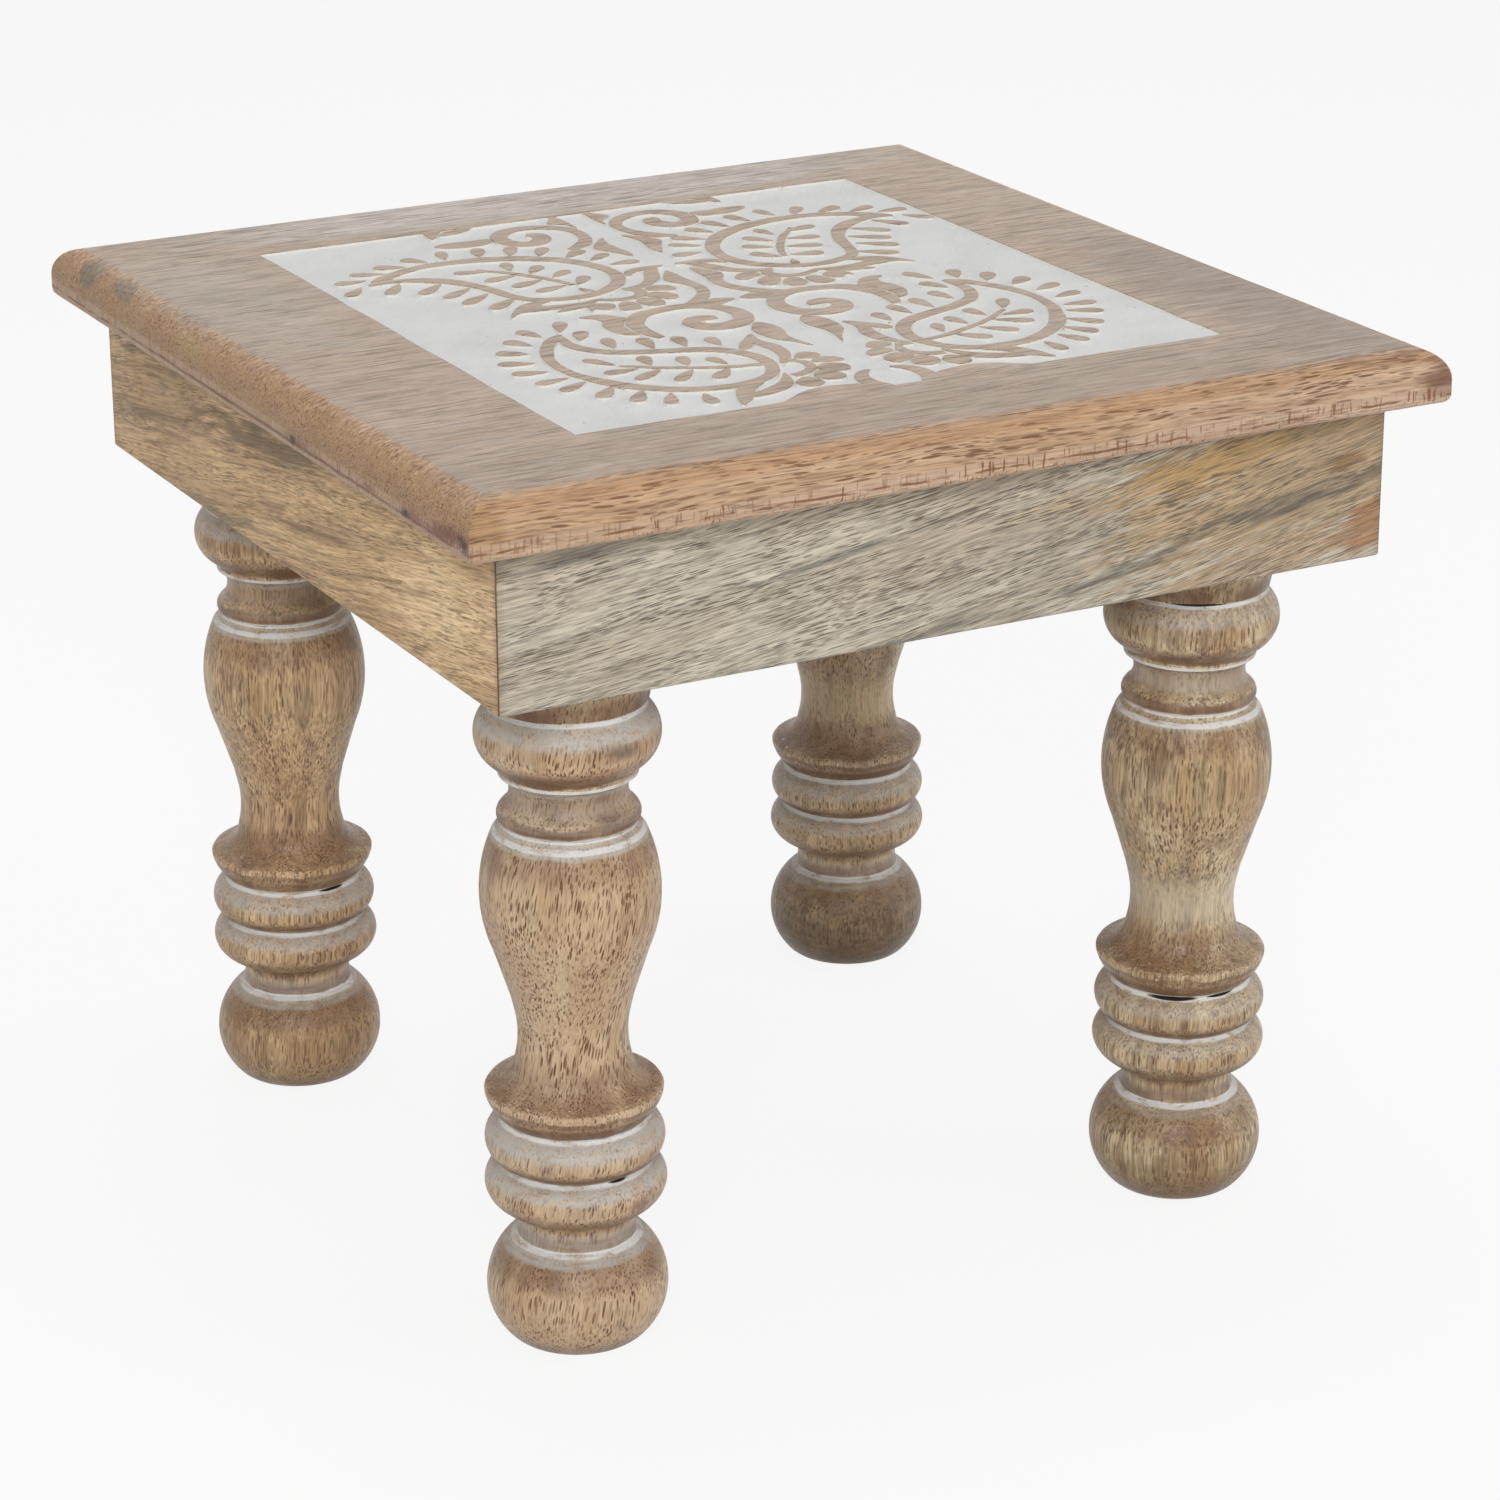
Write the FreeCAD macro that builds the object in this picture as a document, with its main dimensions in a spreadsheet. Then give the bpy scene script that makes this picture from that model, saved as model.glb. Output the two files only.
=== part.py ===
import FreeCAD, Part
import os
import Sketcher

# Low square table: a slab with a sunk panel, a mitred apron box, four turned legs with square
# tops that stand in the corners of the box, and the dowels, cleats and screws that hold it
# together.  Millimetres; +Z up, +X right, +Y to the back; the floor is z = 0 and the middle of
# the table is x = y = 0.  The front of the table faces -Y.

SIZES = [
    ("table_height", 267, "floor to the top of the slab"),
    ("top_side", 305, "side of the square slab"),
    ("top_thickness", 16, "slab thickness"),
    ("top_round", 9, "radius of the quarter round on the upper edge"),
    ("top_under_round", 2.5, "radius of the lower edge of the slab"),
    ("border_left", 52, "slab edge to the sunk panel, on the left"),
    ("border_right", 48, "slab edge to the sunk panel, on the right"),
    ("border_front", 44.5, "slab edge to the sunk panel, at the front"),
    ("border_back", 42.5, "slab edge to the sunk panel, at the back"),
    ("panel_depth", 1, "depth of the carved ground"),
    ("top_overhang", 13, "slab edge beyond the apron boards"),
    ("apron_height", 47, "height of the apron boards"),
    ("board_thickness", 12, "thickness of the apron boards"),
    ("board_under_round", 1.5, "radius of the lower outer edge of a board"),
    ("leg_side", 52, "side of the square leg blank"),
    ("flare_cover", 8, "height of the leg's flare that the apron hides"),
    ("foot_radius", 18.5, "radius of the flat that a leg stands on"),
    ("dowel_diameter", 8, "dowel through the joint of leg and board"),
    ("dowel_length", 28, "dowel length"),
    ("dowel_board_length", 8.5, "length of a dowel inside the board"),
    ("dowel_chamfer", 1, "chamfer at the ends of a dowel"),
    ("dowel_low_height", 14, "lower dowel above the lower edge of the apron"),
    ("dowel_spacing", 20, "lower dowel to upper dowel"),
    ("hole_clearance", 0.1, "radial clearance round dowels and screws"),
    ("hole_end_clearance", 0.5, "free depth at the end of a blind hole"),
    ("cleat_width", 15, "cleat, along the slab"),
    ("cleat_height", 18, "cleat, along the apron board"),
    ("cleat_end_clearance", 0.5, "gap between a cleat's end and the leg block"),
    ("screw_diameter", 3.5, "wood screw shank"),
    ("screw_head_diameter", 7, "countersunk head"),
    ("screw_head_height", 2.2, "countersunk head"),
    ("screw_tip_height", 4, "pointed end"),
    ("screw_tip_diameter", 0.8, "blunt point"),
    ("side_screw_length", 25, "screw from a cleat into the apron board"),
    ("top_screw_length", 30, "screw from a cleat up into the slab"),
]

# Places worked out from the sizes, as expressions.
SLAB_HALF = "(Sizes.top_side / 2)"
SLAB_UNDERSIDE = "(Sizes.table_height - Sizes.top_thickness)"
APRON_BOTTOM = f"({SLAB_UNDERSIDE} - Sizes.apron_height)"
BOARD_OUTSIDE = f"({SLAB_HALF} - Sizes.top_overhang)"
BOARD_INSIDE = f"({BOARD_OUTSIDE} - Sizes.board_thickness)"
BLANK_HALF = "(Sizes.leg_side / 2)"
LEG_CENTRE = f"({BOARD_INSIDE} - {BLANK_HALF})"
TURNED_LENGTH = f"({APRON_BOTTOM} + Sizes.flare_cover)"
DOWEL_HEIGHTS = ["Sizes.dowel_low_height", "(Sizes.dowel_low_height + Sizes.dowel_spacing)"]
DOWEL_REACH = f"({BLANK_HALF} + Sizes.dowel_board_length)"
DOWEL_LEG_DEPTH = "(Sizes.dowel_length - Sizes.dowel_board_length + Sizes.hole_end_clearance)"
DOWEL_BOARD_DEPTH = "(Sizes.dowel_board_length + Sizes.hole_end_clearance)"
DOWEL_RADIUS = "(Sizes.dowel_diameter / 2)"
DOWEL_HOLE_RADIUS = f"({DOWEL_RADIUS} + Sizes.hole_clearance)"
CLEAT_INSIDE = f"({BOARD_INSIDE} - Sizes.cleat_width)"
CLEAT_MIDDLE = f"({BOARD_INSIDE} - Sizes.cleat_width / 2)"
CLEAT_BOTTOM = f"({SLAB_UNDERSIDE} - Sizes.cleat_height)"
CLEAT_HALF_LENGTH = f"({BOARD_INSIDE} - Sizes.leg_side - Sizes.cleat_end_clearance)"
SCREW_RADIUS = "(Sizes.screw_diameter / 2)"
SCREW_HEAD_RADIUS = "(Sizes.screw_head_diameter / 2)"
SCREW_HEAD_SLOPE = f"(({SCREW_HEAD_RADIUS} - {SCREW_RADIUS}) / Sizes.screw_head_height)"
SCREW_HOLE_RADIUS = f"({SCREW_RADIUS} + Sizes.hole_clearance)"
SCREW_SINK_RADIUS = f"({SCREW_HEAD_RADIUS} + Sizes.hole_clearance)"
TOP_SCREW_DEPTH = "(Sizes.top_screw_length - Sizes.cleat_height + Sizes.hole_end_clearance)"
SIDE_SCREW_DEPTH = "(Sizes.side_screw_length - Sizes.cleat_width + Sizes.hole_end_clearance)"
PANEL_LEFT = f"(Sizes.border_left - {SLAB_HALF})"
PANEL_RIGHT = f"({SLAB_HALF} - Sizes.border_right)"
PANEL_FRONT = f"(Sizes.border_front - {SLAB_HALF})"
PANEL_BACK = f"({SLAB_HALF} - Sizes.border_back)"
PANEL_MIDDLE = (f"(({PANEL_LEFT} + {PANEL_RIGHT}) / 2)", f"(({PANEL_FRONT} + {PANEL_BACK}) / 2)")
PANEL_HALVES = (f"(({PANEL_RIGHT} - {PANEL_LEFT}) / 2)", f"(({PANEL_BACK} - {PANEL_FRONT}) / 2)")
PANEL_FLOOR = "(Sizes.top_thickness - Sizes.panel_depth)"

# Outline of the turned leg above the foot's flat.  Heights are shares of the turned length and
# radii are shares of half the blank.  Two numbers end a straight run; four are an arc, first
# the point that it passes through and then its end.
LEG_OUTLINE_SHARES = [
    (0.074, 0.996, 0.142, 0.742),
    (0.147, 0.662),
    (0.167, 0.638, 0.191, 0.685),
    (0.198, 0.877, 0.223, 0.992),
    (0.244, 0.938, 0.253, 0.838),
    (0.257, 0.808),
    (0.260, 0.838),
    (0.288, 0.981, 0.315, 0.838),
    (0.320, 0.800),
    (0.325, 0.831),
    (0.339, 0.919, 0.354, 0.969),
    (0.361, 0.965, 0.365, 0.908),
    (0.378, 0.715, 0.400, 0.635),
    (0.431, 0.596, 0.471, 0.627),
    (0.492, 0.665),
    (0.561, 0.842),
    (0.639, 0.969, 0.716, 0.846),
    (0.728, 0.792, 0.733, 0.738),
    (0.737, 0.723),
    (0.741, 0.754),
    (0.749, 0.765, 0.758, 0.731),
    (0.780, 0.631, 0.801, 0.692),
    (0.804, 0.746),
    (0.812, 0.758),
    (0.818, 0.792),
    (0.858, 0.992, 0.893, 0.877),
    (0.901, 0.838),
    (0.907, 0.869),
    (0.934, 0.923, 0.967, 1.062),
    (0.985, 1.231, 1.000, 1.450),
]

# The left half of the carving, measured by hand on a squared drawing of the panel: x to the
# right, y to the front.  The right half is its mirror image about a slightly slanting line.
DRAWING_MIDDLE = (759.5, 744.5)
DRAWING_HALVES = (508, 540.5)
MIRROR_START = (770, 200)
MIRROR_SLANT = -0.0124

# Bands that close on themselves: the outer tip, the inner tip, and the points of the middle
# line, clockwise on the drawing, each with the band's width.
RINGS = [
    ((323, 455), (370, 436), [
        (370, 418, 20), (430, 391, 20), (500, 389, 22), (565, 406, 24), (622, 440, 25),
        (658, 490, 22), (672, 550, 20), (655, 608, 22), (613, 647, 19), (560, 660, 20),
        (505, 646, 18), (478, 595, 18), (466, 548, 20), (440, 496, 23), (390, 457, 20),
    ]),
    ((446, 834), (428, 868), [
        (438, 885, 17), (462, 940, 20), (515, 970, 20), (575, 992, 22), (622, 1028, 21),
        (640, 1080, 20), (628, 1133, 18), (580, 1175, 19), (520, 1180, 20), (455, 1152, 22),
        (406, 1097, 24), (381, 1040, 18), (375, 980, 15), (392, 908, 18), (420, 860, 18),
    ]),
]

# Open bands: the points of the middle line, each with the band's width, an odd number of them.
SCROLLS = [
    [(676, 403, 8), (719, 369, 22), (733, 320, 18), (712, 268, 22), (668, 250, 22),
     (625, 264, 26), (610, 308, 26), (632, 340, 28), (662, 330, 28)],
    [(570, 915, 12), (563, 865, 22), (582, 808, 28), (640, 781, 22), (705, 796, 27),
     (728, 855, 29), (685, 903, 32)],
    [(640, 654, 12), (690, 636, 18), (722, 584, 22), (735, 564, 12), (742, 556, 6)],
    [(676, 1111, 9), (684, 1135, 14), (672, 1160, 15), (655, 1170, 15), (638, 1174, 15)],
]
STEMS = [
    [(500, 447, 7), (522, 473, 9), (552, 513, 12), (572, 552, 10), (588, 594, 8)],
    [(450, 1018, 6), (490, 1050, 10), (545, 1080, 11), (590, 1096, 11), (628, 1105, 11)],
    [(745, 588, 3), (735, 635, 30), (744, 685, 20), (724, 742, 20), (680, 780, 20)],
    [(683, 586, 4), (692, 570, 15), (712, 560, 17), (735, 557, 11), (754, 556, 4)],
    [(583, 688, 9), (604, 700, 13), (628, 703, 14), (648, 692, 16), (655, 668, 17)],
    [(654, 1110, 5), (672, 1084, 16), (682, 1050, 22), (680, 1012, 20), (681, 978, 5)],
    [(580, 1182, 14), (551, 1201, 24), (534, 1228, 24), (521, 1252, 15), (512, 1266, 4)],
    [(741, 1200, 5), (723, 1213, 18), (713, 1240, 22), (713, 1264, 24), (722, 1292, 30)],
]

# Leaves: arcs from each odd point through the next to the one after it.
LEAVES = [
    [(429, 717), (458, 674), (495, 655), (510, 686), (592, 690), (500, 705)],
    [(500, 724), (537, 709), (576, 701), (545, 719)],
    [(708, 778), (730, 763), (759, 777), (728, 793)],
    [(513, 765), (548, 764), (571, 800), (550, 836), (549, 887), (519, 835), (532, 800),
     (527, 779)],
    [(722, 908), (740, 950), (730, 1000), (730, 1025), (735, 1054), (702, 985)],
    [(752, 363), (712, 420), (742, 484), (745, 430)],
    [(743, 202), (716, 241), (744, 288), (748, 245)],
    [(501, 292), (548, 282), (596, 286), (548, 317)],
    [(519, 242), (520, 212), (560, 190), (541, 222)],
    [(694, 872), (662, 906), (628, 872), (662, 838)],
    [(687, 306), (664, 330), (645, 308), (664, 285)],
    [(687, 960), (655, 988), (637, 1022), (668, 1000)],
    [(633, 1157), (594, 1202), (538, 1243), (608, 1222)],
    [(560, 1296), (600, 1258), (640, 1244), (690, 1256), (726, 1296), (640, 1300)],
]

# Drops and petals: the tip, the head and the width.
UPPER_DROPS = [
    ((512, 462), (461, 450), 27), ((543, 474), (554, 429), 25), ((537, 503), (484, 515), 28),
    ((562, 505), (594, 467), 28), ((560, 545), (505, 563), 28), ((580, 541), (619, 512), 27),
    ((578, 592), (524, 604), 28), ((595, 596), (628, 556), 28), ((455, 372), (428, 334), 30),
    ((485, 366), (498, 320), 26), ((536, 380), (556, 329), 28), ((580, 395), (604, 345), 28),
    ((618, 415), (647, 373), 28), ((648, 447), (692, 413), 30), ((672, 480), (714, 450), 26),
    ((688, 514), (737, 512), 28), ((415, 380), (370, 361), 30), ((371, 402), (321, 384), 26),
    ((332, 424), (281, 423), 28), ((308, 458), (272, 496), 27), ((366, 465), (327, 514), 28),
    ((420, 494), (370, 537), 28), ((447, 537), (391, 575), 28), ((456, 579), (401, 618), 28),
    ((480, 622), (425, 661), 30),
]
LOWER_DROPS = [
    ((447, 1012), (421, 966), 27), ((467, 1043), (415, 1043), 28), ((494, 1057), (441, 1091), 27),
    ((530, 1083), (486, 1124), 27), ((579, 1098), (539, 1138), 29), ((490, 1035), (499, 988), 27),
    ((535, 1060), (546, 1016), 27), ((586, 1080), (577, 1038), 26), ((421, 832), (405, 786), 30),
    ((390, 867), (365, 826), 32), ((367, 903), (329, 877), 34), ((354, 949), (306, 930), 30),
    ((351, 997), (302, 984), 29), ((362, 1038), (310, 1045), 28), ((374, 1066), (325, 1093), 29),
    ((396, 1104), (358, 1147), 30), ((424, 1140), (391, 1186), 30), ((451, 1170), (427, 1218), 27),
    ((488, 1194), (480, 1244), 27), ((455, 819), (480, 770), 27), ((461, 874), (484, 829), 30),
    ((485, 933), (497, 881), 28), ((533, 960), (541, 903), 29), ((578, 973), (588, 919), 28),
    ((622, 992), (626, 946), 28),
]
PETALS = [
    ((671, 672), (712, 668), 31), ((655, 703), (692, 727), 34), ((641, 717), (649, 758), 31),
    ((613, 716), (594, 763), 34), ((580, 708), (557, 745), 34), ((684, 1098), (720, 1084), 28),
    ((695, 1122), (739, 1136), 28), ((686, 1149), (728, 1182), 32), ((668, 1174), (694, 1219), 32),
    ((641, 1187), (636, 1236), 34),
]
DROP_WIDEST = 0.62

# Where the screws stand along a cleat, as shares of half its length.
SIDE_SCREW_SHARE = 0.73
TOP_SCREW_SHARE = 0.4

SIDES = ["front", "right", "back", "left"]
CORNERS = ["front_left", "front_right", "back_right", "back_left"]
CORNER_SIGNS = [("-", "-"), ("", "-"), ("", ""), ("-", "")]
QUARTER_TURN = 90
FULL_TURN = 360
UPRIGHT = FreeCAD.Vector(0, 0, 1)

doc = FreeCAD.newDocument("LowTable")
sub_parts = []


def size_table():
    """Write every driving size to the sheet, one row each."""
    sheet = doc.addObject("Spreadsheet::Sheet", "Sizes")
    for row, (alias, number, meaning) in enumerate(SIZES, start=1):
        sheet.set(f"A{row}", meaning)
        sheet.set(f"B{row}", str(number))
        sheet.setAlias(f"B{row}", alias)
    doc.recompute()
    return sheet


sizes = size_table()


def number_of(expression):
    """The number that an expression on the table of sizes gives."""
    return float(sizes.evalExpression(expression))


def bind(item, **expressions):
    """Tie properties of an object to expressions; a double underscore stands for a dot."""
    for prop, expression in expressions.items():
        item.setExpression(prop.replace("__", "."), expression)


def bind_place(item, x, y, z):
    """Tie an object's place to three expressions."""
    bind(item, Placement__Base__x=x, Placement__Base__y=y, Placement__Base__z=z)


def new_body(name, turn=0):
    """A named body, turned about the upright axis."""
    body = doc.addObject("PartDesign::Body", name)
    body.Label = name
    body.Placement.Rotation = FreeCAD.Rotation(UPRIGHT, turn)
    sub_parts.append(body)
    return body


def origin_feature(body, role):
    """One of the body's own axes or planes."""
    return next(item for item in body.Origin.OriginFeatures if item.Role == role)


def new_sketch(body, name, plane, offset="0", shift_x="0", shift_y="0"):
    """A sketch on one of the body's own planes, moved along the plane's normal and within it."""
    sketch = body.newObject("Sketcher::SketchObject", f"{body.Name}_{name}")
    sketch.AttachmentSupport = [(origin_feature(body, plane), "")]
    sketch.MapMode = "FlatFace"
    bind(
        sketch,
        AttachmentOffset__Base__x=shift_x,
        AttachmentOffset__Base__y=shift_y,
        AttachmentOffset__Base__z=offset,
    )
    return sketch


def settle(sketch, ties, live=True):
    """Add constraints to a sketch at once, each tied to its expression where it has one.

    A sketch that isn't live keeps the numbers that the expressions give now, which is many
    times faster where it has hundreds of them.
    """
    numbers = sketch.addConstraint([constraint for constraint, _ in ties])
    for number, (_, expression) in zip(numbers, ties):
        if expression and live:
            sketch.setExpression(f"Constraints[{number}]", expression)


def place_point(item, end, x, y):
    """What fixes a point at two expressions, measured from the sketch's origin."""
    level_axis, upright_axis = -1, -2
    origin = (level_axis, 1)
    ties = []
    for kind, axis, expression in (("DistanceX", upright_axis, x), ("DistanceY", level_axis, y)):
        distance = number_of(expression)
        if distance == 0:
            ties.append((Sketcher.Constraint("PointOnObject", item, end, axis), None))
            continue
        pair = (*origin, item, end) if distance > 0 else (item, end, *origin)
        ties.append((Sketcher.Constraint(kind, *pair, abs(distance)), f"abs({expression})"))
    return ties


def polygon(sketch, corners):
    """A closed outline of straight lines through corners given as pairs of expressions."""
    points = [FreeCAD.Vector(number_of(x), number_of(y), 0) for x, y in corners]
    first = sketch.GeometryCount
    count = len(points)
    for index, point in enumerate(points):
        sketch.addGeometry(Part.LineSegment(point, points[(index + 1) % count]), False)
    ties = []
    for index, (x, y) in enumerate(corners):
        following = first + (index + 1) % count
        joint = Sketcher.Constraint("Coincident", first + index, 2, following, 1)
        ties += [(joint, None), *place_point(first + index, 1, x, y)]
    settle(sketch, ties)


def rectangle(sketch, left, right, front, back):
    """A rectangle from the places of its four sides."""
    polygon(sketch, [(left, front), (right, front), (right, back), (left, back)])


def square(sketch, half):
    """A square about the sketch's origin."""
    rectangle(sketch, f"-{half}", half, f"-{half}", half)


def circles(sketch, radius, centres):
    """Circles of one radius about centres given as pairs of expressions."""
    ties = []
    for x, y in centres:
        centre = FreeCAD.Vector(number_of(x), number_of(y), 0)
        item = sketch.addGeometry(Part.Circle(centre, UPRIGHT, number_of(radius)), False)
        ties += place_point(item, 3, x, y)
        ties.append((Sketcher.Constraint("Radius", item, number_of(radius)), radius))
    settle(sketch, ties)


def pad(body, sketch, height, against_normal=False):
    """Raise a sketch to a solid, along the sketch's normal unless told otherwise."""
    feature = body.newObject("PartDesign::Pad", f"{sketch.Name}_pad")
    feature.Profile = sketch
    feature.Reversed = against_normal
    bind(feature, Length=height)
    doc.recompute()


def require_cut(body, before, feature):
    """Stop if a feature took nothing away."""
    if not body.Shape.Volume < before:
        raise ValueError(f"{feature.Name} cuts nothing")


def pocket(body, sketch, depth, along_normal=False):
    """Cut a sketch into the body, against the sketch's normal unless told otherwise."""
    before = body.Shape.Volume
    feature = body.newObject("PartDesign::Pocket", f"{sketch.Name}_pocket")
    feature.Profile = sketch
    feature.Reversed = along_normal
    bind(feature, Length=depth)
    doc.recompute()
    require_cut(body, before, feature)
    return feature


def screw_holes(body, sketch, along_normal=False):
    """Countersunk holes right through the body at the circles of a sketch."""
    before = body.Shape.Volume
    doc.recompute()
    feature = body.newObject("PartDesign::Hole", f"{sketch.Name}_hole")
    feature.Profile = sketch
    feature.Reversed = along_normal
    feature.DepthType = "ThroughAll"
    feature.HoleCutType = "Countersink"
    feature.HoleCutCustomValues = True
    bind(
        feature,
        Diameter=f"2 * {SCREW_HOLE_RADIUS}",
        HoleCutDiameter=f"2 * {SCREW_SINK_RADIUS}",
        HoleCutCountersinkAngle=f"2 * atan({SCREW_HEAD_SLOPE})",
    )
    doc.recompute()
    require_cut(body, before, feature)


def fillet(body, radius, wanted):
    """Round the edges of the body's last feature that a test picks."""
    base = body.Tip
    edges = enumerate(base.Shape.Edges, start=1)
    names = [f"Edge{number}" for number, edge in edges if wanted(edge)]
    feature = body.newObject("PartDesign::Fillet", f"{base.Name}_fillet")
    feature.Base = (base, names)
    bind(feature, Radius=radius)
    doc.recompute()


def lies_at(edge, axis, place):
    """Whether an edge lies at one coordinate over its whole length."""
    fine = Part.Precision.confusion()
    return all(abs(getattr(vertex.Point, axis) - place) < fine for vertex in edge.Vertexes)


def screw_places(share):
    """Where two screws stand along a cleat, from their share of half its length."""
    place = f"({share} * {CLEAT_HALF_LENGTH})"
    return [f"-{place}", place]


def point_of(place):
    """The point of a sketch that a pair of expressions gives."""
    return FreeCAD.Vector(*map(number_of, place), 0)


def add_run(sketch, places):
    """Draw a straight run or an arc through fixed places.

    Its start, its end and what fixes it come back.
    """
    start, *guides, end = [point_of(place) for place in places]
    if not guides:
        item = sketch.addGeometry(Part.LineSegment(start, end), False)
        return (item, 1), (item, 2), place_point(item, 1, *places[0])
    through = guides[0]
    anticlockwise = (through - start).cross(end - through).z > 0
    arc = Part.Arc(start, through, end) if anticlockwise else Part.Arc(end, through, start)
    item = sketch.addGeometry(arc, False)
    ends = ((item, 1), (item, 2)) if anticlockwise else ((item, 2), (item, 1))
    guide = sketch.addGeometry(Part.Point(through), True)
    on_arc = Sketcher.Constraint("PointOnObject", guide, 1, item)
    ties = place_point(*ends[0], *places[0]) + place_point(guide, 1, *places[1])
    return *ends, [*ties, (on_arc, None)]


def closed_outlines(sketch, outlines, live=True):
    """Draw outlines of runs that follow one another and join each end to the next start."""
    ties = []
    for runs in outlines:
        drawn = [add_run(sketch, run) for run in runs]
        for (_, end, fixing), (start, _, _) in zip(drawn, drawn[1:] + drawn[:1]):
            ties += [*fixing, (Sketcher.Constraint("Coincident", *end, *start), None)]
    settle(sketch, ties, live)


def runs_between(places):
    """Straight runs from each place to the next."""
    return list(zip(places, places[1:]))


def mirrored(point):
    """The point of the drawing's right half that answers to one of its left half."""
    x, y = point
    line = MIRROR_START[0] + (y - MIRROR_START[1]) * MIRROR_SLANT
    return 2 * line - x, y


def on_panel(point):
    """Where a point of the drawing lies, measured from the middle of the panel."""
    shares = (
        (point[0] - DRAWING_MIDDLE[0]) / DRAWING_HALVES[0],
        (DRAWING_MIDDLE[1] - point[1]) / DRAWING_HALVES[1],
    )
    return tuple(f"({share:.5f} * {half})" for share, half in zip(shares, PANEL_HALVES))


def arcs_through(points):
    """Arcs that follow one another through points, each with one point between its ends."""
    return [tuple(points[index:index + 3]) for index in range(0, len(points) - 2, 2)]


def band_edges(stations):
    """The right and the left edge of a band, seen along its middle line."""
    middle = [FreeCAD.Vector(x, y, 0) for x, y, _ in stations]
    befores, afters = middle[:1] + middle[:-1], middle[1:] + middle[-1:]
    edges = ([], [])
    for (_, _, width), before, here, after in zip(stations, befores, middle, afters):
        along = (after - before).normalize()
        across = UPRIGHT.cross(along) * (width / 2)
        edges[0].append(tuple(here + across)[:2])
        edges[1].append(tuple(here - across)[:2])
    return edges


def ring_outlines(tip, inner_tip, stations):
    """The outer and the inner outline of a band that closes on itself at a tip."""
    inner, outer = band_edges(stations)
    return [arcs_through([tip, *outer, tip]), arcs_through([inner_tip, *inner[1:-1], inner_tip])]


def band_outline(stations):
    """The outline of an open band."""
    right, left = band_edges(stations)
    left.reverse()
    caps = [(right[-1], left[0])], [(left[-1], right[0])]
    return arcs_through(right) + caps[0] + arcs_through(left) + caps[1]


def drop_outline(tip, head, width):
    """The outline of a drop: two arcs from tip to head."""
    start, end = FreeCAD.Vector(*tip, 0), FreeCAD.Vector(*head, 0)
    widest = start + (end - start) * DROP_WIDEST
    across = UPRIGHT.cross((end - start).normalize()) * (width / 2)
    sides = [tuple(widest + across)[:2], tuple(widest - across)[:2]]
    return [(tip, sides[0], head), (head, sides[1], tip)]


def raised(body, name, outlines):
    """Raise outlines of the drawing and their mirror images from the sunk panel."""
    sketch = new_sketch(body, name, "XY_Plane", PANEL_FLOOR, *PANEL_MIDDLE)
    both_halves = [
        [[on_panel(half(point)) for point in run] for run in outline]
        for outline in outlines
        for half in (tuple, mirrored)
    ]
    closed_outlines(sketch, both_halves, live=False)
    pad(body, sketch, "Sizes.panel_depth")


def carving(body):
    """The figures that stand in the panel; those that meet are raised one after another."""
    raised(body, "rings", [outline for ring in RINGS for outline in ring_outlines(*ring)])
    raised(body, "scrolls", [band_outline(stations) for stations in SCROLLS])
    raised(body, "stems", [band_outline(stations) for stations in STEMS])
    raised(body, "leaves", [arcs_through(points + points[:1]) for points in LEAVES])
    raised(body, "upper_drops", [drop_outline(*drop) for drop in UPPER_DROPS])
    raised(body, "lower_drops", [drop_outline(*drop) for drop in LOWER_DROPS])
    raised(body, "petals", [drop_outline(*petal) for petal in PETALS])


def top_slab():
    """The square slab: rounded edges, a sunk panel and pilot holes in the underside."""
    body = new_body("top_slab")
    bind(body, Placement__Base__z=SLAB_UNDERSIDE)
    outline = new_sketch(body, "outline", "XY_Plane")
    square(outline, SLAB_HALF)
    pad(body, outline, "Sizes.top_thickness")
    upper_face = number_of("Sizes.top_thickness")
    fillet(body, "Sizes.top_round", lambda edge: lies_at(edge, "z", upper_face))
    fillet(body, "Sizes.top_under_round", lambda edge: lies_at(edge, "z", 0))
    panel = new_sketch(body, "panel", "XY_Plane", "Sizes.top_thickness")
    rectangle(panel, PANEL_LEFT, PANEL_RIGHT, PANEL_FRONT, PANEL_BACK)
    pocket(body, panel, "Sizes.panel_depth")
    carving(body)
    pilots = new_sketch(body, "pilots", "XY_Plane")
    pilot_places = [(x, f"-{CLEAT_MIDDLE}") for x in screw_places(TOP_SCREW_SHARE)]
    circles(pilots, SCREW_HOLE_RADIUS, pilot_places)
    front_pilots = pocket(body, pilots, TOP_SCREW_DEPTH, along_normal=True)
    pattern = body.newObject("PartDesign::PolarPattern", "top_slab_pilot_pattern")
    pattern.Originals = [front_pilots]
    pattern.Axis = (origin_feature(body, "Z_Axis"), [""])
    pattern.Occurrences = len(SIDES)
    body.Tip = pattern
    doc.recompute()


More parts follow.
